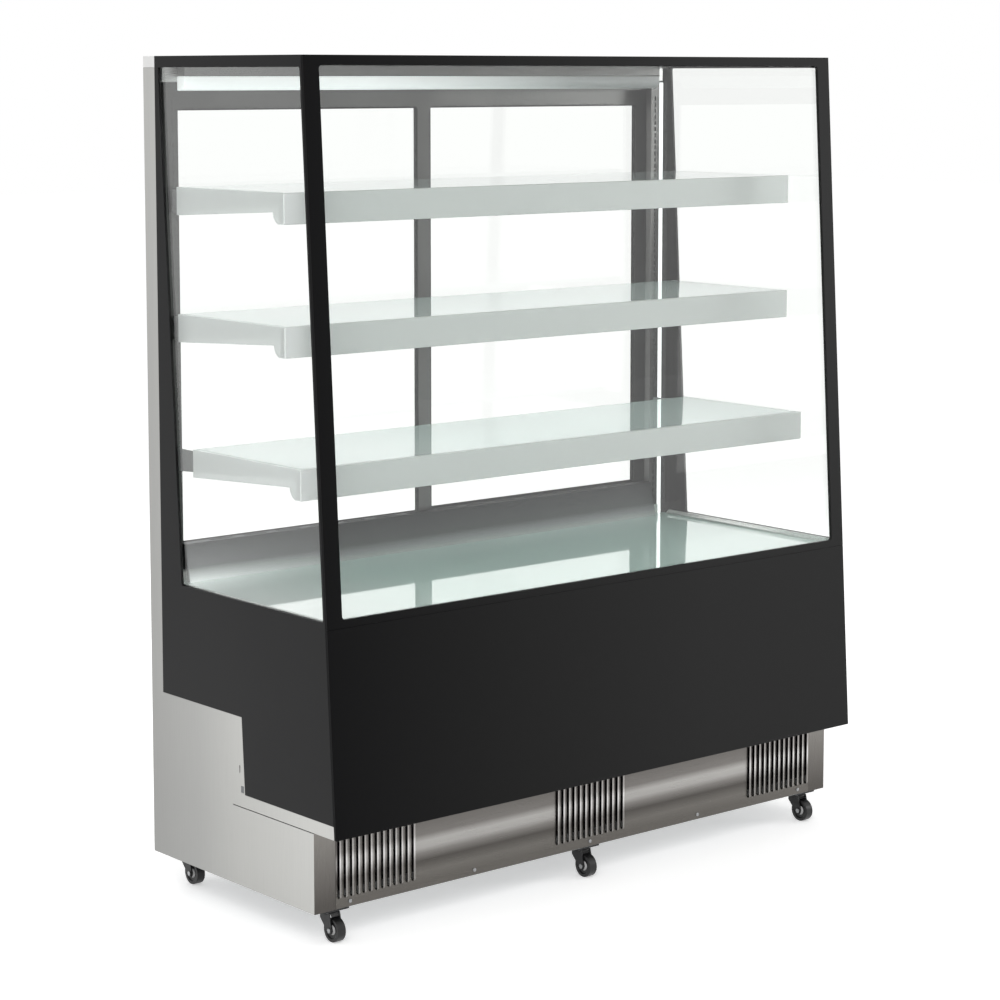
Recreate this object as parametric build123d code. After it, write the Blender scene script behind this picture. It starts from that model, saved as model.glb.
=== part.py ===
from build123d import *
import os

# Upright refrigerated display case: a glazed upper part with three lit shelves behind a
# front that leans back, over an insulated well and a machine compartment on casters.
# Frame: X runs along the width, -Y is the customer's side, Z is up from the floor.

# Overall sizes
case_width = 1500
case_height = 1800
case_depth = 690
front_lean = 0.0593          # the front moves back this much for each millimetre of height
door_frame_overhang = 20     # how far the door frame stands behind the back sheet

# Levels above the floor
base_underside = 70
panel_foot = 240             # lower edge of the black front panel and floor of the tank
ledge_top = 268              # the stainless ledge shows below the black side
step_height = 432            # the black side is cut away below this, behind the well
tank_rim = 660
front_sill = 680             # lower edge of the front glazing
side_sill = 678
glazing_head = 20            # black border above the front glazing
side_glazing_head = 24

# Sheets, panels and glass
sheet = 1.5
pan_wall = 2
pan_height = 40
front_skin = 8
side_skin = 6
glass = 6
roof_thickness = 18
insulation = 40
frame_corner = 8

# Front and side outline
front_post_width = 38
side_post_width = 6
stile_width = 78             # black rear stile in front of the column, at the sill
step_depth = 319             # the black side reaches this far back at its foot
base_set_back = 77
end_return = 54
rear_return = 22
column_width = 44
post_depth = 23
beam_gap = 0.5               # clearance between the posts and what stands between them
glass_lap = 17
glass_gap = 0.5              # clearance at a pane's free edges
front_glass_gap = (1, 4)     # below and above the front pane
side_glass_rear_lap = 7
panel_gap = 1                # above the floor of the base, and below the tank
tank_gap = 2                 # between the tank and the step's sheet
tank_back_gap = 1
joint_slot = 1.5
joint_slot_reach = 45        # the slot runs this far behind the step
slot_notch = (2.5, 16)
slot_notch_offset = (17, 44)     # from the foot of the step
square_notch = (10, 14)
square_notch_offset = (4, 3)

# Louvres
louvre_width = 6
louvre_height = 120
louvre_pitch = 16
louvre_count = 13
louvre_foot = 95
rear_louvre_size = (90, 6)
rear_louvre_rows = 10
rear_louvre_pitch = 22
rear_louvre_rise = 70        # first row above the base
rear_louvre_columns = (-150, 0, 150, 300, 450)

# Rear doors
track_height = 22
track_rise = 22              # lower track above the deck
track_floor = 6
track_rib = 2.5
door_thickness = 16
door_side_gap = 1.25
door_stile = 35
door_overlap = door_stile / 2  # the closed doors lap by half a stile
door_rail = 49
door_glass = 10
door_groove = 8
door_lower_edge_gap = 2      # from the track floor, filled by the glides
door_top_edge_gap = 2
header_lap = 31              # the columns run up beside the header's lower part
header_cap = 3
header_plug = 12
jamb_width = 15
door_edge_gap = 0.5
glide_size = (60, 12)
glide_gap = 0.3
door_head = 77               # from the top of the case down to the upper track
pull_size = (22, 120, 11)
pull_wall = 2
pull_height = 1120

# Uprights, shelves and lamps
upright_width = 27
upright_depth = 16
upright_gap = 1.5
upright_inset = 11           # from the rear posts' inner face
upright_wall = 1.5
slot_pitch = 15
slot_size = (5, 10)
shelf_tops = (970, 1255, 1525)
shelf_reach = (483, 433, 433)    # front edges, ahead of the rear columns
shelf_depth = 390
shelf_end_gap = 14           # to the side glass
shelf_glass = 8
shelf_side_gap = 0.5
fascia_wall = 8
fascia_front_depth = 22
fascia_front_height = 64
arm_rear_height = 60
arm_front_height = 40
arm_cove = 18
arm_cove_radius = 28.8
light_slot_wall = 5
light_slot_depth = 9
bracket_plate = 3
bracket_rear_depth = 50
bracket_front_depth = 18
bracket_front_margin = 30
hook_reach = 4
lamp_end_gap = 48            # to the side glass
lamp_depth = 28
lamp_drop = 73               # from the top of the case down to the lamp's lower face
lamp_cover = 30
corner_lamp_width = 17
corner_lamp_depth = 5
corner_lamp_gap = 4          # below the header and above the tank

# Deck
deck_thickness = 8
trim_width = 12
trim_height = 10
air_panel_sheet = 3
air_panel_set_out = 24       # in front of the tank's back wall
air_panel_rise = 82
air_panel_lean = 20
air_slot_size = (60, 8)
air_slot_pitch = 90
air_panel_gap = 1

# Refrigeration
well_gap = 4                 # between the well and the step's sheet
coil_end_gap = 104           # to the well's end walls
coil_depth = 170
coil_height = 130
coil_foot = 24
fin_gap = 3
fin_pitch = 24
fin_depth = 12
coil_plate_overhang = (5, 6)
condenser_coil_inset = (5, 6)
coil_plate = 2
well_margin = 25
fan_positions = (-250, 250)
fan_set_out = 75             # in front of the evaporator's back
evaporator_fan_radius = 70
condenser_fan_radius = 118
fan_hub_radius = 20
fan_tip_gap = 5
fan_hub_height = 18
fan_blade_sheet = 2
fan_blade_chord = 36
fan_blade_angle = 28
fan_blades = 5
shaft_radius = 4
running_gap = 0.06
motor_radius = 32
motor_length = 42
motor_gap = 4
spider_bar = 10
spider_sheet = 4
fan_panel_sheet = 2
fan_rise = 14                # evaporator fans above their panel
fan_sink = 4                 # condenser fan inside its shroud's face
fan_collar = (2, 10)
fan_panel_lap = 25           # over the tank's shallow floor
fan_panel_gap = (0.3, 0.5)
condenser_size = (300, 60, 300)
condenser_centre_x = 300
condenser_gap = 22           # behind the well
shroud_depth = 46
shroud_wall = 3
compressor_x = -430
compressor_set_in = 175      # in front of the back sheet
compressor_radius = 85
compressor_body = 130
compressor_dome = 40
compressor_foot = 14
compressor_plate = (190, 150, 3)
compressor_pads = (82, 62, 12)
terminal_box = (60, 60)
terminal_box_reach = (70, 108)
terminal_box_rise = 60
suction_radius = 5
liquid_radius = 3.5
pipe_bend = 26
pipe_gap = 0.4
pipe_offsets = (48, 73)      # suction and liquid pipes, outside the evaporator's end
suction_port = (55, 60)      # in front of the evaporator's back and above the well's floor
liquid_port = (105, 105)
compressor_stubs = (148, 168)
stub_wall = 2
condenser_ports = ((18, 258), (48, 168))
liquid_drop_offset = 60
discharge_offset = 75
drain_radius = 11
drain_bend = 32
drain_wall = 2
drain_lip = 3
drain_run_height = 78
drain_end_height = 24
tray_size = (240, 170, 32)
tray_x = -90
tray_set_in = 125
tray_wall = 2

# Electrics at the back
control_plate = (250, 92, 3)
control_inset = 167.5        # from the rear grille's left edge
control_level = 376
control_window_margin = (16, 14)
control_screw_inset = 8
controller_size = (74, 34, 55)
controller_bezel = 4
display_margin = (3, 4)
display_end = 8              # the display's right edge, from the controller's middle
switch_offsets = (40, 85)
switch_opening = (20, 30)
switch_body = 14
switch_wall = 2
rocker_gap = 0.5
rocker_tilt = 8
rocker_pin = 1.5
electrical_box_size = (180, 90, 180)
electrical_box_inset = (187.5, 85)
gland_inset = 87.5
gland_level = 130
gland_bore = 5
gland_thread = 8
gland_nut = 12
gland_outside = 12
gland_inside = 18
gland_hole_gap = 0.1
gland_nut_depth = 6

# Casters and screws
caster_inset = 60            # from the case's sides
caster_front_inset = 30      # from the base's front
caster_rear_inset = 50
caster_plate = (60, 3)
caster_race = (17, 6)
caster_race_gap = 0.4
kingpin_radius = 5
wheel_radius = 25
wheel_width = 20
wheel_trail = 18
wheel_axle = 4
fork_sheet = 2.5
fork_side_gap = 1.5
fork_head = 3
screw_head = (4.2, 2.4)
screw_shank = (2, 7)
screw_hole_gap = 0.05
kick_screw_inset = 35.5      # outermost screws from the panel's ends
grille_screw_inset = 27.5
kick_screw_rise = 12
grille_screw_rise = 14
grille_screw_drop = 12
caster_bolt_reach = 22

# Derived planes and levels
half_width = case_width / 2
front_foot_y = -case_depth / 2
back_y = case_depth / 2
back_sheet_y = back_y - door_frame_overhang
sheet_front_y = back_sheet_y - sheet
column_front_y = back_sheet_y - column_width
post_front_y = back_sheet_y - sheet - post_depth
post_inner = half_width - rear_return
base_front_y = front_foot_y + base_set_back
frame_foot = front_sill - frame_corner * 2
deck_level = tank_rim + deck_thickness
roof_underside = case_height - roof_thickness
top_track_level = case_height - door_head
header_level = top_track_level + track_height
track_level = deck_level + track_rise
track_front_y = back_y - 3 * track_rib - 2 * (door_thickness + 2 * door_side_gap)
glazing_top = case_height - glazing_head
side_glazing_top = case_height - side_glazing_head
stile_foot_y = column_front_y - stile_width
step_foot_y = front_foot_y + step_depth
side_face = half_width - side_skin
side_glass_face = side_face - glass
tank_half = side_face
tank_rear_half = post_inner - beam_gap
cavity_half = tank_half - insulation
back_wall_y = column_front_y - tank_back_gap
well_floor = panel_foot + insulation
shallow_floor = step_height + tank_gap + insulation
pan_floor = base_underside + pan_wall
column_top = header_level + header_lap
upright_outer = post_inner - upright_inset
well_back_y = step_foot_y - well_gap
coil_back_y = well_back_y - insulation - well_margin
coil_half_length = cavity_half - coil_end_gap
fan_centre_y = coil_back_y - fan_set_out
condenser_front_y = well_back_y + condenser_gap
compressor_centre = (compressor_x, back_sheet_y - compressor_set_in)
tray_centre = (tray_x, back_sheet_y - tray_set_in)
shelf_half_width = side_glass_face - shelf_end_gap
shelf_fronts = [column_front_y - reach for reach in shelf_reach]
lamp_half_length = side_glass_face - lamp_end_gap
lamp_diffuser_foot = case_height - lamp_drop
lamp_split = lamp_diffuser_foot + lamp_cover
kick_half = half_width - end_return - glass_gap
grille_half = half_width - rear_return - glass_gap
control_centre = (-grille_half + control_inset, control_level)
gland_place = (-grille_half + gland_inset, gland_level)
electrical_box_centre = (grille_half - electrical_box_inset[0], back_sheet_y - electrical_box_inset[1])
caster_x = half_width - caster_inset
caster_front_y = base_front_y + caster_front_inset
caster_rear_y = back_sheet_y - caster_rear_inset
caster_places = {
    "front_left": (-caster_x, caster_front_y),
    "front_middle": (0, caster_front_y),
    "front_right": (caster_x, caster_front_y),
    "rear_left": (-caster_x, caster_rear_y),
    "rear_right": (caster_x, caster_rear_y),
}


def front_y(z, depth=0):
    """Y of the leaning front face at height z, or of a plane that lies depth behind it."""
    return front_foot_y + front_lean * (z - panel_foot) + depth


def step_y(z):
    return step_foot_y + front_lean * (z - ledge_top)


def stile_y(z):
    return stile_foot_y + front_lean * (z - side_sill)


def block(x0, x1, y0, y1, z0, z1):
    centre = Pos((x0 + x1) / 2, (y0 + y1) / 2, (z0 + z1) / 2)
    return centre * Box(x1 - x0, y1 - y0, z1 - z0)


def side_prism(points, x0, x1):
    """A solid between x0 and x1 whose outline is given as (y, z) points."""
    outline = Plane.YZ * Polyline(*points, close=True)
    return Pos(x0, 0, 0) * extrude(make_face(outline), x1 - x0, dir=(1, 0, 0))


def upright_rod(x, y, z0, z1, radius):
    return Pos(x, y, (z0 + z1) / 2) * Cylinder(radius, z1 - z0)


def depth_rod(x, z, y0, y1, radius):
    return Pos(x, (y0 + y1) / 2, z) * Rot(90, 0, 0) * Cylinder(radius, y1 - y0)


def width_rod(y, z, x0, x1, radius):
    return Pos((x0 + x1) / 2, y, z) * Rot(0, 90, 0) * Cylinder(radius, x1 - x0)


def mirrored(solid):
    return mirror(solid, about=Plane.YZ)


def pair(solid):
    """The left solid and its mirror image on the right."""
    return [solid, mirrored(solid)]


def save(name, solids):
    parts = solids if isinstance(solids, list) else [solids]
    shapes = [solid for part in parts for solid in part.solids()]
    model = shapes[0] if len(shapes) == 1 else Compound(children=shapes)
    model.label = name
    export_step(model, os.path.join("parts", name + ".step"))


# Screws are placed first, because the panels and the pan take their holes from them
kick_screw_x = kick_half - kick_screw_inset
grille_screw_x = grille_half - grille_screw_inset
kick_screws = [(x * kick_screw_x, base_underside + kick_screw_rise) for x in (-1, -0.5, 0, 0.5, 1)]
grille_screws = [
    (x, z)
    for x in (-grille_screw_x, -kick_screw_x / 2, kick_screw_x / 2, grille_screw_x)
    for z in (base_underside + grille_screw_rise, step_height - grille_screw_drop)
]
control_half_width = control_plate[0] / 2 - control_screw_inset
control_half_height = control_plate[1] / 2 - control_screw_inset
control_screws = [
    (control_centre[0] + side * control_half_width, control_centre[1] + rise * control_half_height)
    for side in (-1, 1)
    for rise in (-1, 1)
]
plate_bolts = [
    (x + side * caster_bolt_reach, y + way * caster_bolt_reach)
    for x, y in caster_places.values()
    for side in (-1, 1)
    for way in (-1, 1)
]


def screw_holes_along_y(places, y0, y1):
    radius = screw_shank[0] + screw_hole_gap
    return [depth_rod(x, z, y0, y1, radius) for x, z in places]


def screw():
    """A pan-head screw along Z, its head's seat at the origin and its shank below."""
    head = Cylinder(screw_head[0], screw_head[1], align=(Align.CENTER, Align.CENTER, Align.MIN))
    head = fillet(head.edges().sort_by(Axis.Z)[-1], screw_head[1] * 0.6)
    slot = Pos(0, 0, screw_head[1]) * Box(screw_head[0] * 1.3, 0.9, 1.4)
    shank = Cylinder(screw_shank[0], screw_shank[1], align=(Align.CENTER, Align.CENTER, Align.MAX))
    return head - slot + shank


def screws():
    model = screw()
    front = [Pos(x, base_front_y, z) * Rot(90, 0, 0) * model for x, z in kick_screws]
    rear = [Pos(x, back_sheet_y, z) * Rot(-90, 0, 0) * model for x, z in grille_screws]
    control_y = back_sheet_y + control_plate[2]
    control = [Pos(x, control_y, z) * Rot(-90, 0, 0) * model for x, z in control_screws]
    plate_foot = base_underside - caster_plate[1]
    below = [Pos(x, y, plate_foot) * Rot(180, 0, 0) * model for x, y in plate_bolts]
    return front + rear + control + below


# Base and stainless casing

def base_pan():
    outer = block(
        -half_width + sheet, half_width - sheet,
        base_front_y + sheet, sheet_front_y,
        base_underside, base_underside + pan_height,
    )
    inner = block(
        -half_width + sheet + pan_wall, half_width - sheet - pan_wall,
        base_front_y + sheet + pan_wall, sheet_front_y - pan_wall,
        pan_floor, base_underside + pan_height + 1,
    )
    low_screws = [place for place in grille_screws if place[1] < base_underside + pan_height]
    holes = screw_holes_along_y(kick_screws, base_front_y - 1, base_front_y + 12)
    holes += screw_holes_along_y(low_screws, sheet_front_y - 12, back_sheet_y + 1)
    bolt_radius = screw_shank[0] + screw_hole_gap
    holes += [upright_rod(x, y, base_underside - 1, pan_floor + 1, bolt_radius) for x, y in plate_bolts]
    return outer - inner - holes


def side_sheet():
    """The left stainless side: lower panel, ledge under the well and rear column, in one sheet."""
    outline = [
        (back_sheet_y, base_underside),
        (back_sheet_y, column_top),
        (column_front_y, column_top),
        (column_front_y, step_height),
        (step_y(step_height), step_height),
        (step_foot_y, ledge_top),
        (front_y(ledge_top, front_skin), ledge_top),
        (front_y(panel_foot, front_skin), panel_foot),
        (base_front_y, panel_foot),
        (base_front_y, base_underside),
    ]
    inner_x = -half_width + sheet
    face = side_prism(outline, -half_width, inner_x)
    slot = block(
        -half_width - 1, inner_x + 1,
        base_front_y - 1, step_foot_y + joint_slot_reach,
        panel_foot - joint_slot, panel_foot,
    )
    notch_y = step_foot_y + slot_notch_offset[0]
    notch_z = ledge_top + slot_notch_offset[1]
    notch = block(
        -half_width - 1, inner_x + 1,
        notch_y, notch_y + slot_notch[0],
        notch_z, notch_z + slot_notch[1],
    )
    square_y = step_foot_y + square_notch_offset[0]
    square_z = ledge_top + square_notch_offset[1]
    square = block(
        -half_width - 1, inner_x + 1,
        square_y, square_y + square_notch[0],
        square_z, square_z + square_notch[1],
    )
    front_return = block(
        -half_width, -half_width + end_return,
        base_front_y, base_front_y + sheet,
        base_underside, panel_foot - joint_slot,
    )
    rear_fold = block(
        -half_width, -half_width + rear_return,
        sheet_front_y, back_sheet_y,
        base_underside, column_top,
    )
    return face - slot - notch - square + front_return + rear_fold


def rear_post():
    """A square steel post that stands in the base pan, inside the left column."""
    x0 = -half_width + sheet + pan_wall
    x1 = -post_inner
    y0 = post_front_y
    y1 = sheet_front_y - pan_wall
    outer = block(x0, x1, y0, y1, pan_floor, column_top)
    inner = block(
        x0 + pan_wall, x1 - pan_wall, y0 + pan_wall, y1 - pan_wall, pan_floor - 1, column_top + 1
    )
    return outer - inner


def louvre_group(centre_x):
    first = centre_x - louvre_pitch * (louvre_count - 1) / 2
    for i in range(louvre_count):
        x = first + i * louvre_pitch
        yield block(
            x - louvre_width / 2, x + louvre_width / 2,
            base_front_y - 1, base_front_y + sheet + 1,
            louvre_foot, louvre_foot + louvre_height,
        )


def kick_panel():
    panel = block(
        -kick_half, kick_half, base_front_y, base_front_y + sheet,
        base_underside + panel_gap, panel_foot - joint_slot,
    )
    side_group = kick_half - louvre_pitch * louvre_count / 2
    slots = [slot for x in (-side_group, 0, side_group) for slot in louvre_group(x)]
    return panel - slots - screw_holes_along_y(kick_screws, base_front_y - 1, base_front_y + 3)


def rear_grille():
    panel = block(
        -grille_half, grille_half, sheet_front_y, back_sheet_y,
        base_underside + panel_gap, step_height + panel_gap,
    )
    slots = []
    for x in rear_louvre_columns:
        for row in range(rear_louvre_rows):
            z = base_underside + rear_louvre_rise + row * rear_louvre_pitch
            slots.append(
                block(
                    x - rear_louvre_size[0] / 2, x + rear_louvre_size[0] / 2,
                    sheet_front_y - 1, back_sheet_y + 1,
                    z - rear_louvre_size[1] / 2, z + rear_louvre_size[1] / 2,
                )
            )
    half_window = control_plate[0] / 2 - control_window_margin[0]
    window_rise = control_plate[1] / 2 - control_window_margin[1]
    window = block(
        control_centre[0] - half_window, control_centre[0] + half_window,
        sheet_front_y - 1, back_sheet_y + 1,
        control_centre[1] - window_rise, control_centre[1] + window_rise,
    )
    gland = depth_rod(*gland_place, sheet_front_y - 1, back_sheet_y + 1, gland_thread + gland_hole_gap)
    holes = screw_holes_along_y(grille_screws + control_screws, sheet_front_y - 1, back_sheet_y + 1)
    return panel - slots - window - gland - holes


# Black front and side frames, and the glass behind them

def leaning_slab(x0, x1, z0, z1, depth0, depth1):
    """A plate parallel to the front, between two depths behind its face."""
    outline = [
        (front_y(z0, depth0), z0),
        (front_y(z1, depth0), z1),
        (front_y(z1, depth1), z1),
        (front_y(z0, depth1), z0),
    ]
    return side_prism(outline, x0, x1)


def front_panel():
    return leaning_slab(-half_width, half_width, panel_foot, frame_foot, 0, front_skin)


def front_frame():
    slab = leaning_slab(-half_width, half_width, frame_foot, case_height, 0, front_skin)
    window_width = case_width - 2 * front_post_width
    window_height = glazing_top - front_sill
    window = extrude(
        Plane.XZ * RectangleRounded(window_width, window_height, frame_corner), case_depth
    )
    return slab - Pos(0, 0, (glazing_top + front_sill) / 2) * window


def front_glass():
    half = side_glass_face - glass_gap
    return leaning_slab(
        -half, half, tank_rim + front_glass_gap[0], case_height - front_glass_gap[1],
        front_skin, front_skin + glass,
    )


def side_frame():
    """The left black side: window frame above, closed panel below with the step cut out of it.

    Its rear edge is rebated, so that the stainless column laps over it.
    """
    outline = [
        (front_y(ledge_top, front_skin), ledge_top),
        (front_y(case_height, front_skin), case_height),
        (column_front_y, case_height),
        (column_front_y, column_top),
        (post_front_y, column_top),
        (post_front_y, step_height),
        (step_y(step_height), step_height),
        (step_foot_y, ledge_top),
    ]
    rebate = block(
        -half_width - 1, -half_width + sheet, column_front_y, back_y, step_height - 1, column_top + 1
    )
    border = front_skin + side_post_width
    window = [
        (front_y(side_sill, border), side_sill),
        (front_y(side_glazing_top, border), side_glazing_top),
        (stile_y(side_glazing_top), side_glazing_top),
        (stile_y(side_sill), side_sill),
    ]
    opening = side_prism(window, -half_width - 1, -side_face + 1)
    opening = fillet(opening.edges().filter_by(Axis.X), frame_corner / 2)
    return side_prism(outline, -half_width, -side_face) - opening - rebate


def side_pane():
    """The left side glass, bonded to the inside of its frame."""
    foot = side_sill - glass_lap
    top = roof_underside - glass_gap
    outline = [
        (front_y(foot, front_skin + glass_gap), foot),
        (front_y(top, front_skin + glass_gap), top),
        (stile_y(top) + side_glass_rear_lap, top),
        (stile_y(top) + side_glass_rear_lap, foot),
    ]
    return side_prism(outline, -side_face, -side_glass_face)


# Roof and rear header

def roof_panel():
    outline = [
        (front_y(roof_underside, front_skin + glass + glass_gap), roof_underside),
        (front_y(case_height, front_skin + glass + glass_gap), case_height),
        (column_front_y, case_height),
        (column_front_y, roof_underside),
    ]
    return side_prism(outline, -side_face, side_face)


def rear_header():
    """A box beam over the doors that rests on both rear posts."""
    beam = block(
        -half_width + header_cap, half_width - header_cap,
        column_front_y, back_sheet_y, column_top, case_height,
    )
    beam += block(
        -tank_rear_half, tank_rear_half, column_front_y, back_sheet_y, header_level, column_top
    )
    hollow = block(
        -half_width, half_width,
        column_front_y + pan_wall, back_sheet_y - pan_wall,
        column_top + pan_wall, case_height - pan_wall,
    )
    return beam - hollow


def header_end_cap():
    x0 = -half_width
    plate = block(x0, x0 + header_cap, column_front_y, back_sheet_y, column_top, case_height)
    plate = fillet(plate.edges().group_by(Axis.X)[0], 1)
    plug = block(
        x0 + header_cap, x0 + header_cap + header_plug,
        column_front_y + pan_wall, back_sheet_y - pan_wall,
        column_top + pan_wall, case_height - pan_wall,
    )
    return plate + plug


# Insulated tank and deck

def tank_cavity():
    wall = front_skin + insulation
    outline = [
        (front_y(well_floor, wall), well_floor),
        (front_y(tank_rim + 1, wall), tank_rim + 1),
        (back_wall_y, tank_rim + 1),
        (back_wall_y, shallow_floor),
        (well_back_y - insulation, shallow_floor),
        (well_back_y - insulation, well_floor),
    ]
    return side_prism(outline, -cavity_half, cavity_half)


# Pipes run from the evaporator through the well's back wall to the compressor and condenser
coil_end_x = -coil_half_length - coil_plate
condenser_end_x = condenser_centre_x - condenser_size[0] / 2 - coil_plate
suction_x = coil_end_x - pipe_offsets[0]
suction_y = coil_back_y - suction_port[0]
suction_z = well_floor + suction_port[1]
suction_stub_z = pan_floor + compressor_stubs[0]
suction_route = [
    (coil_end_x, suction_y, suction_z),
    (suction_x, suction_y, suction_z),
    (suction_x, compressor_centre[1], suction_z),
    (suction_x, compressor_centre[1], suction_stub_z),
    (compressor_centre[0] - compressor_radius, compressor_centre[1], suction_stub_z),
]
liquid_x = coil_end_x - pipe_offsets[1]
liquid_y = coil_back_y - liquid_port[0]
liquid_z = well_floor + liquid_port[1]
liquid_drop_x = condenser_end_x - liquid_drop_offset
condenser_liquid_y = condenser_front_y + condenser_ports[0][0]
condenser_liquid_z = pan_floor + condenser_ports[0][1]
liquid_route = [
    (coil_end_x, liquid_y, liquid_z),
    (liquid_x, liquid_y, liquid_z),
    (liquid_x, condenser_liquid_y, liquid_z),
    (liquid_drop_x, condenser_liquid_y, liquid_z),
    (liquid_drop_x, condenser_liquid_y, condenser_liquid_z),
    (condenser_end_x, condenser_liquid_y, condenser_liquid_z),
]
discharge_x = compressor_centre[0] + compressor_radius + discharge_offset
discharge_y = condenser_front_y + condenser_ports[1][0]
discharge_z = pan_floor + compressor_stubs[1]
discharge_route = [
    (compressor_centre[0] + compressor_radius, compressor_centre[1], discharge_z),
    (discharge_x, compressor_centre[1], discharge_z),
    (discharge_x, discharge_y, discharge_z),
    (condenser_end_x, discharge_y, discharge_z),
]
drain_low_z = pan_floor + drain_run_height
drain_route = [
    (tray_centre[0], fan_centre_y, well_floor + drain_lip),
    (tray_centre[0], fan_centre_y, drain_low_z),
    (tray_centre[0], tray_centre[1], drain_low_z),
    (tray_centre[0], tray_centre[1], pan_floor + drain_end_height),
]


def insulated_tank():
    """A foamed tub: a deep well in front, a shallow part over the machine compartment."""
    outline = [
        (front_y(panel_foot, front_skin), panel_foot),
        (front_y(tank_rim, front_skin), tank_rim),
        (back_wall_y, tank_rim),
        (back_wall_y, track_level),
        (back_sheet_y, track_level),
        (back_sheet_y, step_height + tank_gap),
        (well_back_y, step_height + tank_gap),
        (well_back_y, panel_foot),
    ]
    body = side_prism(outline, -tank_half, tank_half)
    for side in (-1, 1):
        x0, x1 = sorted((side * tank_rear_half, side * (tank_half + 1)))
        body -= block(x0, x1, post_front_y, back_y, panel_foot, track_level + 1)
        x0, x1 = sorted((side * (upright_outer + 1), side * (tank_half + 1)))
        body -= block(x0, x1, back_wall_y - 1, back_y, tank_rim, track_level + 1)
    wall_front = well_back_y - insulation - 1
    pipe_holes = [
        depth_rod(suction_x, suction_z, wall_front, well_back_y + 1, suction_radius + pipe_gap),
        depth_rod(liquid_x, liquid_z, wall_front, well_back_y + 1, liquid_radius + pipe_gap),
        upright_rod(
            tray_centre[0], fan_centre_y, panel_foot - 1, well_floor + 1, drain_radius + pipe_gap
        ),
    ]
    return body - tank_cavity() - pipe_holes


def deck_plate():
    front = front_y(deck_level, front_skin + glass + glass_gap)
    half = side_glass_face - glass_gap
    return block(-half, half, front, back_wall_y, tank_rim, deck_level)


def deck_trim():
    """Bevelled strip over the feet of the front and side panes."""
    top = deck_level + trim_height
    front = front_skin + glass + glass_gap
    half = side_glass_face - glass_gap
    front_strip = [
        (front_y(deck_level, front), deck_level),
        (front_y(top, front), top),
        (front_y(top, front) + trim_width / 2, top),
        (front_y(deck_level, front) + trim_width * 2, deck_level),
    ]
    trim = side_prism(front_strip, -half, half)
    strip = block(
        -half, -half + trim_width, front_y(top, front), back_wall_y - air_panel_set_out, deck_level, top
    )
    strip = chamfer(strip.edges().filter_by(Axis.Y).group_by(Axis.Z)[-1][-1:], trim_width / 2)
    return trim + strip + mirrored(strip)


def rear_air_panel():
    """Leaning sheet behind the deck, folded back over the door track, with air slots in the fold."""
    foot = deck_level
    top = deck_level + air_panel_rise
    sheet_depth = air_panel_sheet
    foot_y = back_wall_y - air_panel_set_out
    face_top_y = foot_y + air_panel_lean
    outline = [
        (foot_y, foot),
        (face_top_y, top),
        (track_front_y - air_panel_gap, top),
        (track_front_y - air_panel_gap, top - sheet_depth),
        (face_top_y + sheet_depth, top - sheet_depth),
        (foot_y + sheet_depth, foot),
    ]
    half = upright_outer - upright_width - air_panel_gap
    panel = side_prism(outline, -half, half)
    count = int(2 * half / air_slot_pitch) - 1
    first = -air_slot_pitch * (count - 1) / 2
    slot_y = (face_top_y + sheet_depth + track_front_y - air_panel_gap) / 2
    slots = [
        Pos(first + i * air_slot_pitch, slot_y, top) * Box(*air_slot_size, 4 * sheet_depth)
        for i in range(count)
    ]
    return panel - slots


# Rear door frame, doors and their pulls

def groove_fronts():
    """Front faces of the two door grooves, the inner one first."""
    inner = track_front_y + track_rib
    outer = inner + door_thickness + 2 * door_side_gap + track_rib
    return inner, outer


def track(z0, floor_below):
    """Aluminium track with two grooves, z0 its lower face."""
    half = tank_rear_half
    rail = block(-half, half, track_front_y, back_y, z0, z0 + track_height)
    low = z0 + track_floor if floor_below else z0 - 1
    high = z0 + track_height + 1 if floor_below else z0 + track_height - track_floor
    for y in groove_fronts():
        rail -= block(-half - 1, half + 1, y, y + door_thickness + 2 * door_side_gap, low, high)
    return rail


def door_jamb():
    """Box profile between the tracks that the closed door meets."""
    half = tank_rear_half
    return block(
        -half, -half + jamb_width, track_front_y, back_y, track_level + track_height, top_track_level
    )


def door_span():
    """X of the left door's two edges when it is shut."""
    left = -tank_rear_half + jamb_width + door_edge_gap
    return left, door_overlap / 2


def door_levels():
    low = track_level + track_floor + door_lower_edge_gap
    high = header_level - track_floor - door_top_edge_gap
    return low, high


def left_door_y():
    return groove_fronts()[0] + door_side_gap


def right_door_y():
    return groove_fronts()[1] + door_side_gap


def door_ring(y0):
    """The left door's aluminium frame, with a groove for its pane and a recess for its pull."""
    x0, x1 = door_span()
    z0, z1 = door_levels()
    ring = block(x0, x1, y0, y0 + door_thickness, z0, z1)
    opening = extrude(
        Plane.XZ * RectangleRounded(x1 - x0 - 2 * door_stile, z1 - z0 - 2 * door_rail, frame_corner),
        case_depth,
    )
    ring -= Pos((x0 + x1) / 2, back_y, (z0 + z1) / 2) * opening
    return ring - door_pane(y0) - pull_recess(y0)


def door_pane(y0):
    x0, x1 = door_span()
    z0, z1 = door_levels()
    side = door_stile - door_groove
    rail = door_rail - door_groove
    front = y0 + (door_thickness - door_glass) / 2
    return block(x0 + side, x1 - side, front, front + door_glass, z0 + rail, z1 - rail)


def pull_recess(y0):
    x = door_span()[0] + (door_stile - door_groove) / 2
    wide, tall, deep = pull_size
    back = y0 + door_thickness
    return block(x - wide / 2, x + wide / 2, back - deep, back + 1, pull_height, pull_height + tall)


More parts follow.
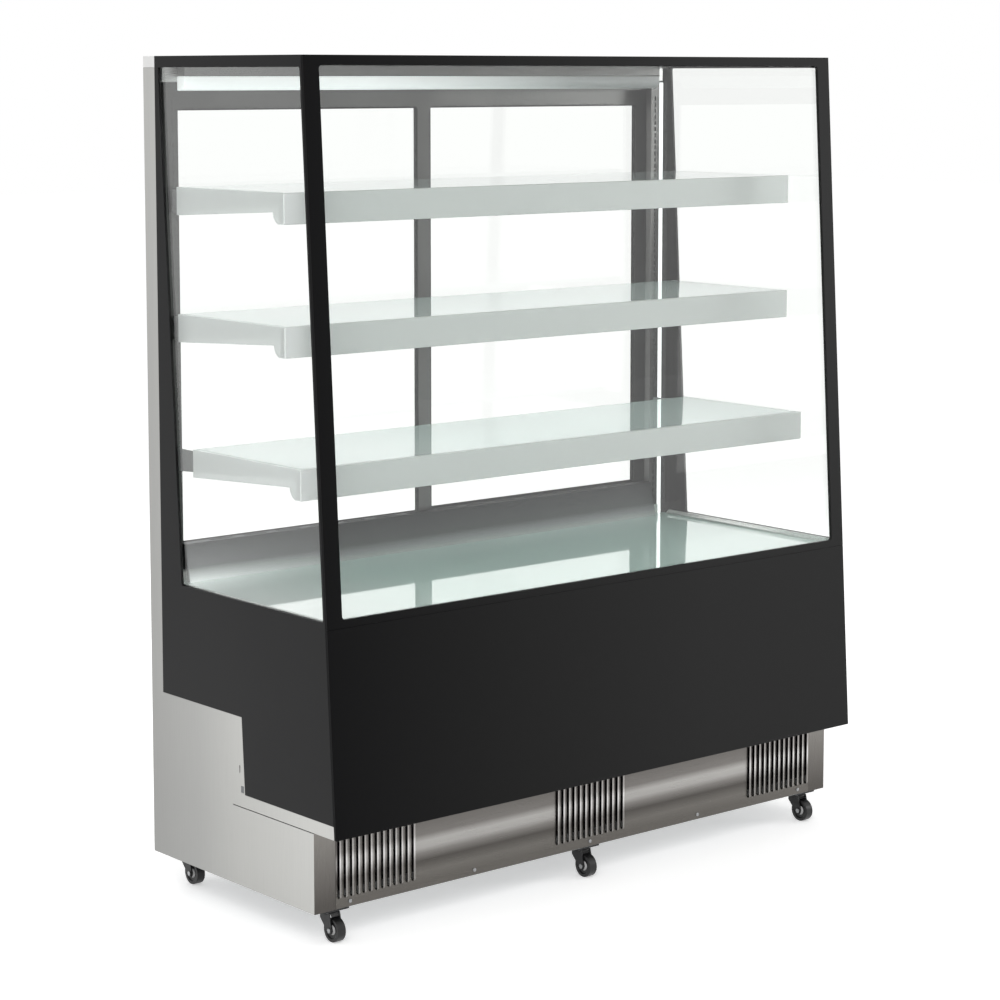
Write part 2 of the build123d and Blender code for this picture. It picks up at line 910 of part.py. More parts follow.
def door_pull(y0):
    """A finger cup set flush in the stile's rear face."""
    x = door_span()[0] + (door_stile - door_groove) / 2
    wide, tall, deep = pull_size
    back = y0 + door_thickness
    cup = block(x - wide / 2, x + wide / 2, back - deep, back, pull_height, pull_height + tall)
    hollow = block(
        x - wide / 2 + pull_wall, x + wide / 2 - pull_wall,
        back - deep + pull_wall, back + 1,
        pull_height + pull_wall, pull_height + tall - pull_wall,
    )
    return cup - hollow


def door_glides(y0):
    """Two nylon shoes under the door that run on the track's floor."""
    x0, x1 = door_span()
    low = track_level + track_floor + glide_gap
    high = door_levels()[0]
    length, wide = glide_size
    centre = y0 + door_thickness / 2
    places = (x0 + length, x1 - length)
    return [
        block(x - length / 2, x + length / 2, centre - wide / 2, centre + wide / 2, low, high)
        for x in places
    ]


# Shelves, their uprights and the lamps

def upright():
    """The left slotted upright, between the tank's back wall and the header."""
    outer = upright_outer
    x0, x1 = -outer, -outer + upright_width
    y0 = column_front_y + upright_gap
    y1 = y0 + upright_depth
    channel = block(x0, x1, y0, y1, track_level, header_level)
    channel -= block(
        x0 + upright_wall, x1 - upright_wall, y0 + upright_wall, y1 + 1, track_level - 1, header_level + 1
    )
    count = int((header_level - track_level) / slot_pitch) - 2
    slots = []
    for i in range(count):
        z = shelf_tops[0] + slot_pitch * (i - int((shelf_tops[0] - track_level) / slot_pitch) + 1)
        slots.append(
            Pos((x0 + x1) / 2, y0, z - shelf_glass - slot_size[1]) * Box(slot_size[0], 8, slot_size[1])
        )
    return channel - slots


def shelf_plate(top, front):
    half = shelf_half_width - fascia_wall - shelf_side_gap
    return block(-half, half, front + fascia_front_depth / 2, front + shelf_depth, top - shelf_glass, top)


def shelf_fascia(top, front):
    """The shelf's lit edge: a deep front rail and two side arms that sweep into it."""
    foot = top - fascia_front_height
    inner_y = front + fascia_front_depth
    arm_start = inner_y + arm_cove
    arm_low = top - arm_front_height
    with BuildSketch(Plane.YZ) as arm:
        with BuildLine():
            Line((front, foot), (inner_y, foot))
            RadiusArc((inner_y, foot), (arm_start, arm_low), -arm_cove_radius)
            Line((arm_start, arm_low), (front + shelf_depth, top - arm_rear_height))
            Line((front + shelf_depth, top - arm_rear_height), (front + shelf_depth, top))
            Line((front + shelf_depth, top), (front, top))
            Line((front, top), (front, foot))
        make_face()
    arm_solid = Pos(-shelf_half_width, 0, 0) * extrude(arm.sketch, fascia_wall, dir=(1, 0, 0))
    rail = block(-shelf_half_width, shelf_half_width, front, inner_y, foot, top)
    rail -= block(
        -shelf_half_width + fascia_wall, shelf_half_width - fascia_wall,
        front + fascia_front_depth / 2, inner_y + 1, top - shelf_glass, top + 1,
    )
    light_slot = block(
        -shelf_half_width + 2 * fascia_wall, shelf_half_width - 2 * fascia_wall,
        front + light_slot_wall, inner_y - light_slot_wall, foot - 1, foot + light_slot_depth,
    )
    return rail + arm_solid + mirrored(arm_solid) - light_slot


def shelf_bracket(top, front):
    """A left steel cantilever under the shelf glass, hooked into the upright."""
    x_mid = -upright_outer + upright_width / 2
    rear_y = column_front_y + upright_gap
    high = top - shelf_glass
    outline = [
        (front + bracket_front_margin, high),
        (rear_y, high),
        (rear_y, high - bracket_rear_depth),
        (front + bracket_front_margin, high - bracket_front_depth),
    ]
    plate = side_prism(outline, x_mid - bracket_plate / 2, x_mid + bracket_plate / 2)
    for drop in (0, 2):
        z = high + slot_size[1] / 2 - slot_size[1] - drop * slot_pitch
        plate += block(
            x_mid - bracket_plate / 2, x_mid + bracket_plate / 2,
            rear_y - 1, rear_y + upright_wall + hook_reach, z - slot_size[1] + 1, z - 1,
        )
    return plate


def canopy_lamp_housing():
    back = column_front_y
    return block(-lamp_half_length, lamp_half_length, back - lamp_depth, back, lamp_split, roof_underside)


def canopy_lamp_diffuser():
    """Opal cover below the housing, rounded towards the customer."""
    back = column_front_y
    cover = block(
        -lamp_half_length, lamp_half_length, back - lamp_depth, back, lamp_diffuser_foot, lamp_split
    )
    edge = cover.edges().filter_by(Axis.X).group_by(Axis.Z)[0].sort_by(Axis.Y)[0]
    return fillet(edge, lamp_depth * 0.7)


def corner_lamp():
    """A slim lamp strip on the front face of the left rear post."""
    x0 = -side_face + 1
    low = tank_rim + corner_lamp_gap
    high = header_level - corner_lamp_gap
    strip = block(x0, x0 + corner_lamp_width, post_front_y - corner_lamp_depth, post_front_y, low, high)
    edges = strip.edges().filter_by(Axis.Z).group_by(Axis.Y)[0]
    return fillet(edges, corner_lamp_depth * 0.4)


# Fans, coils, compressor and pipes

def fan(radius):
    """Five blades on a hub, turning about Z, with a shaft that rises into its motor."""
    hub = Cylinder(fan_hub_radius, fan_hub_height)
    blade_length = radius - fan_hub_radius + 6
    blade = Pos(fan_hub_radius - 3 + blade_length / 2, 0, 0) * Rot(fan_blade_angle, 0, 0)
    blade *= Box(blade_length, fan_blade_chord, fan_blade_sheet)
    model = hub
    for i in range(fan_blades):
        model += Rot(0, 0, 360 / fan_blades * i) * blade
    model = model & Cylinder(radius, fan_hub_height * 3)
    shaft_top = fan_hub_height / 2 + motor_gap + spider_sheet + motor_length * 0.5
    shaft = Cylinder(shaft_radius, shaft_top, align=(Align.CENTER, Align.CENTER, Align.MIN))
    return model + shaft


def fan_motor(radius, leg_drop):
    """Motor over a fan, on a bar whose two legs stand on the fan's panel."""
    foot = fan_hub_height / 2 + motor_gap
    reach = radius + fan_tip_gap + spider_bar * 1.2
    bar = Pos(0, 0, foot + spider_sheet / 2) * Box(spider_bar * 2, 2 * reach, spider_sheet)
    body = Pos(0, 0, foot + spider_sheet) * Cylinder(
        motor_radius, motor_length, align=(Align.CENTER, Align.CENTER, Align.MIN)
    )
    body = fillet(body.edges().group_by(Axis.Z)[-1], 5)
    model = bar + body
    for side in (-1, 1):
        leg = Pos(0, side * (reach - spider_sheet / 2), foot - leg_drop / 2)
        model += leg * Box(spider_bar * 2, spider_sheet, leg_drop)
    bore = Cylinder(
        shaft_radius + running_gap, foot + spider_sheet + motor_length * 0.55,
        align=(Align.CENTER, Align.CENTER, Align.MIN),
    )
    return model - bore


fan_panel_level = shallow_floor
evaporator_fan_z = fan_panel_level + fan_panel_sheet + fan_rise
evaporator_leg = evaporator_fan_z + fan_hub_height / 2 + motor_gap - fan_panel_level - fan_panel_sheet
condenser_back_y = condenser_front_y + condenser_size[1]
condenser_fan_y = condenser_back_y + shroud_depth - fan_sink
condenser_fan_centre_z = pan_floor + condenser_size[2] / 2
condenser_leg = condenser_fan_y + fan_hub_height / 2 + motor_gap - condenser_back_y - shroud_depth


def evaporator_fan(x):
    return Pos(x, fan_centre_y, evaporator_fan_z) * fan(evaporator_fan_radius)


def condenser_place():
    return Pos(condenser_centre_x, condenser_fan_y, condenser_fan_centre_z) * Rot(-90, 0, 0)


def fan_motors():
    motors = [
        Pos(x, fan_centre_y, evaporator_fan_z) * fan_motor(evaporator_fan_radius, evaporator_leg)
        for x in fan_positions
    ]
    return motors + [condenser_place() * fan_motor(condenser_fan_radius, condenser_leg)]


def evaporator_fan_panel():
    """Cover of the well with a collared hole for each fan."""
    front = front_y(fan_panel_level + fan_panel_sheet, front_skin + insulation) + fan_panel_gap[0]
    back = well_back_y - insulation + fan_panel_lap
    half = cavity_half - fan_panel_gap[1]
    panel = block(-half, half, front, back, fan_panel_level, fan_panel_level + fan_panel_sheet)
    hole = evaporator_fan_radius + fan_tip_gap
    for x in fan_positions:
        collar_top = fan_panel_level + fan_collar[1]
        panel += upright_rod(x, fan_centre_y, fan_panel_level, collar_top, hole + fan_collar[0])
        panel -= upright_rod(x, fan_centre_y, fan_panel_level - 1, collar_top + 1, hole)
    return panel


def finned_block(x0, x1, y0, y1, z0, z1, foot):
    """Coil with fins across X and an end plate at each side that stands on foot."""
    core = block(x0, x1, y0, y1, z0, z1)
    count = int((x1 - x0) / fin_pitch)
    for i in range(1, count):
        x = x0 + i * (x1 - x0) / count
        core -= block(x - fin_gap / 2, x + fin_gap / 2, y0 - 1, y0 + fin_depth, z0 - 1, z1 + 1)
        core -= block(x - fin_gap / 2, x + fin_gap / 2, y1 - fin_depth, y1 + 1, z0 - 1, z1 + 1)
    beyond, above = coil_plate_overhang
    plates = block(x0 - coil_plate, x0, y0 - beyond, y1 + beyond, foot, z1 + above)
    plates += block(x1, x1 + coil_plate, y0 - beyond, y1 + beyond, foot, z1 + above)
    return core + plates


def evaporator_coil():
    low = well_floor + coil_foot
    return finned_block(
        -coil_half_length, coil_half_length,
        coil_back_y - coil_depth, coil_back_y,
        low, low + coil_height, well_floor,
    )


def condenser_coil():
    x, (wide, deep, tall) = condenser_centre_x, condenser_size
    y0 = condenser_front_y
    inset, rise = condenser_coil_inset
    return finned_block(
        x - wide / 2, x + wide / 2, y0 + inset, y0 + deep - inset,
        pan_floor + rise, pan_floor + tall - rise, pan_floor,
    )


def condenser_shroud():
    x, (wide, deep, tall) = condenser_centre_x, condenser_size
    y0 = condenser_back_y
    y1 = y0 + shroud_depth
    box_outer = block(x - wide / 2, x + wide / 2, y0, y1, pan_floor, pan_floor + tall)
    box_inner = block(
        x - wide / 2 + shroud_wall, x + wide / 2 - shroud_wall, y0 - 1, y1 - shroud_wall,
        pan_floor + shroud_wall, pan_floor + tall - shroud_wall,
    )
    hole = depth_rod(x, condenser_fan_centre_z, y0, y1 + 1, condenser_fan_radius + fan_tip_gap)
    return box_outer - box_inner - hole


def compressor():
    """Sealed pot on a steel foot with four pads and a terminal box."""
    x, y = compressor_centre
    foot = pan_floor + compressor_foot
    plate_wide, plate_deep, plate_thick = compressor_plate
    seat = foot + plate_thick
    body = upright_rod(x, y, seat, seat + compressor_body + compressor_dome, compressor_radius)
    body = fillet(body.edges().group_by(Axis.Z)[-1], compressor_dome)
    body = fillet(body.edges().group_by(Axis.Z)[0], compressor_dome / 2)
    model = body + block(
        x - plate_wide / 2, x + plate_wide / 2, y - plate_deep / 2, y + plate_deep / 2, foot, seat
    )
    box_foot = foot + terminal_box_rise
    model += block(
        x - terminal_box[0] / 2, x + terminal_box[0] / 2,
        y - terminal_box_reach[1], y - terminal_box_reach[0],
        box_foot, box_foot + terminal_box[1],
    )
    pad_x, pad_y, pad_radius = compressor_pads
    for side in (-1, 1):
        for way in (-1, 1):
            model += upright_rod(x + side * pad_x, y + way * pad_y, pan_floor, foot, pad_radius)
    stubs = width_rod(y, suction_stub_z, x - compressor_radius, x, suction_radius + stub_wall)
    stubs += width_rod(y, discharge_z, x, x + compressor_radius, liquid_radius + stub_wall)
    return model + stubs


def pipe(route, radius, bend):
    path = FilletPolyline(*route, radius=bend)
    start = Plane(origin=path @ 0, z_dir=path % 0)
    return sweep(start * Circle(radius), path=path)


def refrigerant_pipes():
    return [
        pipe(suction_route, suction_radius, pipe_bend),
        pipe(liquid_route, liquid_radius, pipe_bend),
        pipe(discharge_route, liquid_radius, pipe_bend),
    ]


def drain_set():
    """Drain pipe from the well's floor, and the tray where the water dries off."""
    drain = pipe(drain_route, drain_radius, drain_bend)
    drain -= pipe(drain_route, drain_radius - drain_wall, drain_bend)
    x, y = tray_centre
    wide, deep, tall = tray_size
    tray = block(x - wide / 2, x + wide / 2, y - deep / 2, y + deep / 2, pan_floor, pan_floor + tall)
    tray -= block(
        x - wide / 2 + tray_wall, x + wide / 2 - tray_wall,
        y - deep / 2 + tray_wall, y + deep / 2 - tray_wall,
        pan_floor + tray_wall, pan_floor + tall + 1,
    )
    return [drain, tray]


# Controls and electrics

def switch_x(index):
    return control_centre[0] + switch_offsets[index]


def control_panel():
    """Black plate with the controller and the two switch housings behind it."""
    cx, cz = control_centre
    wide, tall, thick = control_plate
    y0 = back_sheet_y
    panel = block(cx - wide / 2, cx + wide / 2, y0, y0 + thick, cz - tall / 2, cz + tall / 2)
    panel = fillet(panel.edges().filter_by(Axis.Y), 5)
    for index in (0, 1):
        x = switch_x(index)
        half_wide, half_tall = switch_opening[0] / 2, switch_opening[1] / 2
        panel += block(
            x - half_wide - switch_wall, x + half_wide + switch_wall,
            y0 + thick - switch_body, y0 + thick + 2,
            cz - half_tall - switch_wall, cz + half_tall + switch_wall,
        )
        panel -= block(
            x - half_wide, x + half_wide, y0 + thick - switch_body - 1, y0 + thick + 3,
            cz - half_tall, cz + half_tall,
        )
        panel -= width_rod(
            y0, cz, x - half_wide - switch_wall / 2, x + half_wide + switch_wall / 2,
            rocker_pin + running_gap,
        )
    c_wide, c_tall, c_deep = controller_size
    c_x = cx - wide / 4
    panel -= block(
        c_x - c_wide / 2, c_x + c_wide / 2, y0 - 1, y0 + thick + 1, cz - c_tall / 2, cz + c_tall / 2
    )
    panel -= screw_holes_along_y(control_screws, y0 - 1, y0 + thick + 1)
    return [panel, controller(c_x, cz, y0)]


def controller(x, z, y0):
    wide, tall, deep = controller_size
    face = y0 + control_plate[2]
    body = block(x - wide / 2, x + wide / 2, face - deep, face, z - tall / 2, z + tall / 2)
    rim = controller_bezel
    bezel = block(
        x - wide / 2 - rim, x + wide / 2 + rim, face, face + rim, z - tall / 2 - rim, z + tall / 2 + rim
    )
    bezel = fillet(bezel.edges().group_by(Axis.Y)[-1], 1.5)
    display = block(
        x - wide / 2 + display_margin[0], x + display_end,
        face + rim - 1, face + rim + 1,
        z - tall / 2 + display_margin[1], z + tall / 2 - display_margin[1],
    )
    return body + bezel - display


def rocker(index):
    """A switch rocker on its two pins, set at its off tilt."""
    cz = control_centre[1]
    half_wide = switch_opening[0] / 2 - rocker_gap
    half_tall = switch_opening[1] / 2 - 2 * rocker_gap
    outline = [(-6, -half_tall + 5), (3.5, -half_tall), (2, 0), (3.5, half_tall), (-6, half_tall - 5)]
    body = side_prism(outline, -half_wide, half_wide)
    pin_half = switch_opening[0] / 2 + switch_wall / 2 - rocker_gap / 2
    body += width_rod(0, 0, -pin_half, pin_half, rocker_pin)
    return Pos(switch_x(index), back_sheet_y, cz) * Rot(-rocker_tilt, 0, 0) * body


def electrical_box():
    x, y = electrical_box_centre
    wide, deep, tall = electrical_box_size
    outer = block(x - wide / 2, x + wide / 2, y - deep / 2, y + deep / 2, pan_floor, pan_floor + tall)
    outer = fillet(outer.edges().filter_by(Axis.Z), 6)
    inner = block(
        x - wide / 2 + 3, x + wide / 2 - 3, y - deep / 2 + 3, y + deep / 2 - 3,
        pan_floor + 3, pan_floor + tall - 3,
    )
    return outer - inner


def cable_gland():
    """Gland for the supply lead, with its nut outside and its thread inside the grille."""
    x, z = gland_place
    body = depth_rod(x, z, sheet_front_y - gland_inside, back_sheet_y, gland_thread)
    body += depth_rod(x, z, back_sheet_y, back_sheet_y + gland_outside, gland_nut)
    body += depth_rod(x, z, sheet_front_y - gland_nut_depth, sheet_front_y, gland_nut)
    body = body - depth_rod(x, z, 0, back_y + 1, gland_bore)
    return body


# Casters

race_foot = base_underside - caster_plate[1] - caster_race[1]
fork_top = race_foot - caster_race_gap


def caster_mount(x, y):
    """Top plate with the swivel race and its kingpin, bolted under the pan."""
    size, thick = caster_plate
    plate = block(
        x - size / 2, x + size / 2, y - size / 2, y + size / 2, base_underside - thick, base_underside
    )
    plate = fillet(plate.edges().filter_by(Axis.Z), 4)
    plate += upright_rod(x, y, race_foot, base_underside - thick, caster_race[0])
    plate += upright_rod(x, y, fork_top - fork_head - 1.4, race_foot, kingpin_radius)
    plate += upright_rod(
        x, y, fork_top - fork_head - 1.4 - 2, fork_top - fork_head - 1.4, kingpin_radius + 3
    )
    bolt_radius = screw_shank[0] + screw_hole_gap
    corners = [place for place in plate_bolts if abs(place[0] - x) < size and abs(place[1] - y) < size]
    holes = [
        upright_rod(bx, by, base_underside - thick - 1, base_underside + 1, bolt_radius)
        for bx, by in corners
    ]
    return plate - holes


def caster_fork(x, y):
    """Swivel fork with its axle; the wheel trails towards the customer's side."""
    axle_y = y - wheel_trail
    inner = wheel_width / 2 + fork_side_gap
    outer = inner + fork_sheet
    head = upright_rod(x, y, fork_top - fork_head, fork_top, caster_race[0] + 2)
    legs = [
        (y + 14, fork_top),
        (y - 17, fork_top),
        (axle_y - 8, wheel_radius),
        (axle_y - 4, wheel_radius - 8),
        (axle_y + 4, wheel_radius - 8),
        (y + 14, fork_top - 14),
    ]
    fork = head
    for low, high in ((x - outer, x - inner), (x + inner, x + outer)):
        fork += side_prism(legs, low, high)
    fork -= upright_rod(x, y, fork_top - fork_head - 1, fork_top + 1, kingpin_radius + running_gap)
    fork += width_rod(axle_y, wheel_radius, x - outer - 2, x + outer + 2, wheel_axle)
    return fork


def caster_wheel(x, y):
    centre_y = y - wheel_trail
    wheel = width_rod(centre_y, wheel_radius, x - wheel_width / 2, x + wheel_width / 2, wheel_radius)
    wheel = fillet(wheel.edges().filter_by(GeomType.CIRCLE), 3)
    dish = wheel_radius * 0.62
    for side in (-1, 1):
        x0, x1 = sorted((side * (wheel_width / 2 - 2.5), side * (wheel_width / 2 + 1)))
        ring = width_rod(centre_y, wheel_radius, x + x0, x + x1, dish)
        ring -= width_rod(centre_y, wheel_radius, x + x0, x + x1, wheel_axle + 4)
        wheel -= ring
    bore = wheel_axle + running_gap
    return wheel - width_rod(centre_y, wheel_radius, x - wheel_width, x + wheel_width, bore)


def build():
    os.makedirs("parts", exist_ok=True)
    save("base_pan", base_pan())
    save("side_sheets", pair(side_sheet()))
    save("rear_posts", pair(rear_post()))
    save("kick_panel", kick_panel())
    save("rear_grille", rear_grille())
    save("front_panel", front_panel())
    save("front_frame", front_frame())
    save("front_glass", front_glass())
    left_frame = side_frame()
    save("side_frame_left", left_frame)
    save("side_frame_right", mirrored(left_frame))
    save("side_glass", pair(side_pane()))
    save("roof_panel", roof_panel())
    save("rear_header", rear_header())
    save("header_end_caps", pair(header_end_cap()))
    save("insulated_tank", insulated_tank())
    save("deck_plate", deck_plate())
    save("deck_trim", deck_trim())
    save("rear_air_panel", rear_air_panel())
    save("door_frame_profiles", [track(track_level, True), track(top_track_level, False)] + pair(door_jamb()))

    y = left_door_y()
    save("door_left_frame", [door_ring(y)] + door_glides(y))
    save("door_left_glass", door_pane(y))
    save("door_left_pull", door_pull(y))
    y = right_door_y()
    save("door_right_frame", [mirrored(door_ring(y))] + [mirrored(glide) for glide in door_glides(y)])
    save("door_right_glass", mirrored(door_pane(y)))
    save("door_right_pull", mirrored(door_pull(y)))

    save("shelf_uprights", pair(upright()))
    shelves = list(zip(shelf_tops, shelf_fronts))
    save("shelf_glass", [shelf_plate(top, front) for top, front in shelves])
    save("shelf_fascia", [shelf_fascia(top, front) for top, front in shelves])
    save("shelf_brackets", [part for top, front in shelves for part in pair(shelf_bracket(top, front))])
    save("canopy_lamp_housing", canopy_lamp_housing())
    save("canopy_lamp_diffuser", canopy_lamp_diffuser())
    save("corner_lamps", pair(corner_lamp()))

    save("evaporator_coil", evaporator_coil())
    save("evaporator_fan_panel", evaporator_fan_panel())
    save("evaporator_fan_left", evaporator_fan(fan_positions[0]))
    save("evaporator_fan_right", evaporator_fan(fan_positions[1]))
    save("condenser_coil", condenser_coil())
    save("condenser_shroud", condenser_shroud())
    save("condenser_fan", condenser_place() * fan(condenser_fan_radius))
    save("fan_motors", fan_motors())
    save("compressor", compressor())
    save("refrigerant_pipes", refrigerant_pipes())
    save("drain_set", drain_set())

    save("control_panel", control_panel())
    save("power_switch", rocker(0))
    save("light_switch", rocker(1))
    save("electrical_box", electrical_box())
    save("cable_gland", cable_gland())
    save("panel_screws", screws())

    save("caster_mounts", [caster_mount(x, y) for x, y in caster_places.values()])
    for name, (x, y) in caster_places.items():
        save("caster_fork_" + name, caster_fork(x, y))
        save("caster_wheel_" + name, caster_wheel(x, y))


build()
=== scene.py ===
import math
import bpy
from mathutils import Matrix, Vector


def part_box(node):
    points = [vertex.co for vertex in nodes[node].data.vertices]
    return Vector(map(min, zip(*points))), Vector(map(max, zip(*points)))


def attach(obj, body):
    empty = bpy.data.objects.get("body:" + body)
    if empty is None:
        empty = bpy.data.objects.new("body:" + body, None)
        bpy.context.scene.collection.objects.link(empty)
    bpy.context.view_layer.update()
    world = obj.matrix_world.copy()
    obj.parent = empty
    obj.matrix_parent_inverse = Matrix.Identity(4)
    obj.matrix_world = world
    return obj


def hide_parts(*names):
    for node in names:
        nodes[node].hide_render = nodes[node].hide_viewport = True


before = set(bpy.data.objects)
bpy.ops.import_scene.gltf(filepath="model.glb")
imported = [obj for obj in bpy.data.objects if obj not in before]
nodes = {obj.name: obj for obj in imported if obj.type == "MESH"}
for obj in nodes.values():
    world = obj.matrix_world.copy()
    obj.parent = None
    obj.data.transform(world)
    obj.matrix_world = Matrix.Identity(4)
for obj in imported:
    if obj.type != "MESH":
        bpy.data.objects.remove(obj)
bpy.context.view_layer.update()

mm = 0.001
homeBody = "case_body"
mergeWithin = 0.00002
evenly = (1, 1, 1)
upright = (1, 1, 0.02)
lengthwise = (0.02, 1, 1)
casterNames = ("front_left", "front_middle", "front_right", "rear_left", "rear_right")
print("frame loaded:", len(nodes), "nodes")


def pick(*things):
    for thing in bpy.context.selected_objects:
        thing.select_set(False)
    for thing in things:
        thing.select_set(True)
    bpy.context.view_layer.objects.active = things[0] if things else None


def newest(name):
    piece = bpy.context.active_object
    piece.name = name
    pick(piece)
    return piece


def settle(piece):
    pick(piece)
    bpy.ops.object.transform_apply(location=True, rotation=True, scale=True)


def applyModifier(piece, kind, **settings):
    pick(piece)
    modifier = piece.modifiers.new(kind, kind)
    for setting, value in settings.items():
        setattr(modifier, setting, value)
    bpy.ops.object.modifier_apply(modifier=modifier.name)


def softenEdges(piece, radius, steps=2, angle=38):
    # rounds the sharp edges; the flat faces keep their own normals, so they stay flat in the light
    pick(piece)
    bpy.ops.object.shade_smooth_by_angle(angle=math.radians(30))
    applyModifier(
        piece, "BEVEL", width=radius * mm, segments=steps, limit_method="ANGLE",
        angle_limit=math.radians(angle), harden_normals=True,
    )


def keepInside(piece, node):
    # a bevel can push a corner out where two folds meet; this puts it back on the node's own box
    low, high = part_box(node)
    for vertex in piece.data.vertices:
        vertex.co = [min(max(value, least), most) for value, least, most in zip(vertex.co, low, high)]


def editMode(piece, selectWhat="FACE"):
    # the selection mode is set first, because entering edit mode drops flags of the other kinds
    pick(piece)
    kinds = ("VERT", "EDGE", "FACE")
    bpy.context.tool_settings.mesh_select_mode = [kind == selectWhat for kind in kinds]
    bpy.ops.object.mode_set(mode="EDIT")


def objectMode():
    bpy.ops.object.mode_set(mode="OBJECT")


def chooseFaces(piece, wanted):
    # flags the faces that the next edit-mode step works on
    for part in (piece.data.vertices, piece.data.edges, piece.data.polygons):
        part.foreach_set("select", [False] * len(part))
    for face in piece.data.polygons:
        face.select = wanted(face)


def bar(name, low, high):
    # a block given by its two corners in millimetres, the start of many pieces
    low, high = Vector(low) * mm, Vector(high) * mm
    bpy.ops.mesh.primitive_cube_add(size=1, location=(low + high) / 2)
    piece = newest(name)
    piece.scale = high - low
    settle(piece)
    return piece


def rod(name, centre, radius, length, axis="Z", sides=48):
    turn = {"X": (0, math.pi / 2, 0), "Y": (math.pi / 2, 0, 0), "Z": (0, 0, 0)}[axis]
    bpy.ops.mesh.primitive_cylinder_add(
        vertices=sides, radius=radius * mm, depth=length * mm,
        location=Vector(centre) * mm, rotation=turn,
    )
    piece = newest(name)
    settle(piece)
    return piece


def copyOf(piece, name, place=Matrix.Identity(4)):
    made = bpy.data.objects.new(name, piece.data.copy())
    bpy.context.collection.objects.link(made)
    made.data.transform(place)
    return made


def shifted(piece, name, x=0, y=0, z=0):
    return copyOf(piece, name, Matrix.Translation(Vector((x, y, z)) * mm))


def flipped(piece, name):
    # the mirror image on the other side of the case, with its faces turned out again
    made = copyOf(piece, name, Matrix.Diagonal((-1, 1, 1, 1)))
    made.data.flip_normals()
    return made


def joined(name, *pieces):
    pick(*pieces)
    bpy.ops.object.join()
    return newest(name)


def discard(*pieces):
    for piece in pieces:
        bpy.data.objects.remove(piece)


def copyOfNode(node, name):
    # a CAD node comes as loose triangles, so its copy is merged before it is shaped
    piece = copyOf(nodes[node], name)
    piece.data.materials.clear()
    editMode(piece, "VERT")
    bpy.ops.mesh.select_all(action="SELECT")
    bpy.ops.mesh.remove_doubles(threshold=mergeWithin)
    bpy.ops.mesh.dissolve_limited(angle_limit=math.radians(0.4))
    objectMode()
    pick(piece)
    bpy.ops.mesh.customdata_custom_splitnormals_clear()
    return piece


def finishFaces(piece, finishes, choose):
    # several finishes on one piece: choose gives each face the number of its own
    piece.data.materials.clear()
    for finish in finishes:
        piece.data.materials.append(finish)
    for face in piece.data.polygons:
        face.material_index = choose(face)


def dress(piece, material, body=homeBody, standsFor=()):
    if material is not None:
        piece.data.materials.clear()
        piece.data.materials.append(material)
    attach(piece, body)
    if standsFor:
        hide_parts(*standsFor)
    return piece


def colourOf(code):
    parts = [int(code[i:i + 2], 16) / 255 for i in (1, 3, 5)]
    return [c / 12.92 if c <= 0.04045 else ((c + 0.055) / 1.055) ** 2.4 for c in parts] + [1.0]


def addNode(tree, kind, values={}, links={}, **traits):
    made = tree.nodes.new(kind)
    for trait, value in traits.items():
        setattr(made, trait, value)
    for socket, value in values.items():
        made.inputs[socket].default_value = value
    for socket, source in links.items():
        tree.links.new(source, made.inputs[socket])
    return made


def newMaterial(name, values):
    material = bpy.data.materials.new(name)
    material.use_nodes = True
    tree = material.node_tree
    shader = tree.nodes["Principled BSDF"]
    for socket, value in values.items():
        shader.inputs[socket].default_value = value
    return material, tree, shader


def stretchedNoise(tree, scale, stretch, detail=3.0):
    place = addNode(tree, "ShaderNodeTexCoord")
    mapping = addNode(
        tree, "ShaderNodeMapping", {"Scale": stretch}, {"Vector": place.outputs["Object"]}
    )
    return addNode(
        tree, "ShaderNodeTexNoise", {"Scale": scale, "Detail": detail},
        {"Vector": mapping.outputs["Vector"]},
    )


def spread(tree, source, low, high, fromLow=0.3, fromHigh=0.7):
    values = {"From Min": fromLow, "From Max": fromHigh, "To Min": low, "To Max": high}
    return addNode(tree, "ShaderNodeMapRange", values, {"Value": source}).outputs["Result"]


def tonesBy(tree, source, stops):
    # a ramp through several colours, given as (position, colour)
    ramp = addNode(tree, "ShaderNodeValToRGB", {}, {"Fac": source})
    while len(ramp.color_ramp.elements) < len(stops):
        ramp.color_ramp.elements.new(0.5)
    for element, (position, tone) in zip(ramp.color_ramp.elements, stops):
        element.position = position
        element.color = colourOf(tone)
    return ramp.outputs["Color"]


def twoTones(tree, source, first, second):
    return tonesBy(tree, source, [(0.35, first), (0.65, second)])


def along(tree, axis, low, high, first=0, last=1):
    # runs from first to last between two places on an axis, given in metres
    place = addNode(tree, "ShaderNodeTexCoord")
    parts = addNode(tree, "ShaderNodeSeparateXYZ", {}, {"Vector": place.outputs["Object"]})
    return spread(tree, parts.outputs[axis], first, last, low, high)


def scaledColour(tree, colour, level):
    scaled = addNode(
        tree, "ShaderNodeVectorMath", {}, {0: colour, "Scale": level}, operation="SCALE"
    )
    return scaled.outputs["Vector"]


def shaded(tree, colour, source, low, high):
    # makes a colour a little darker and lighter with a texture
    level = spread(tree, source, low, high)
    return scaledColour(tree, colour, level)


def varyRoughness(tree, shader, source, smoothest, roughest):
    tree.links.new(spread(tree, source, smoothest, roughest), shader.inputs["Roughness"])


def withPaintedLight(tree, colour, paintedLift):
    # with a painted lift, the colour also lightens or darkens along an axis: painted light and shade
    if paintedLift is None:
        return colour
    return scaledColour(tree, colour, along(tree, *paintedLift))


def giveBump(tree, shader, source, strength, depth):
    values = {"Strength": strength, "Distance": depth * mm}
    bump = addNode(tree, "ShaderNodeBump", values, {"Height": source})
    tree.links.new(bump.outputs["Normal"], shader.inputs["Normal"])


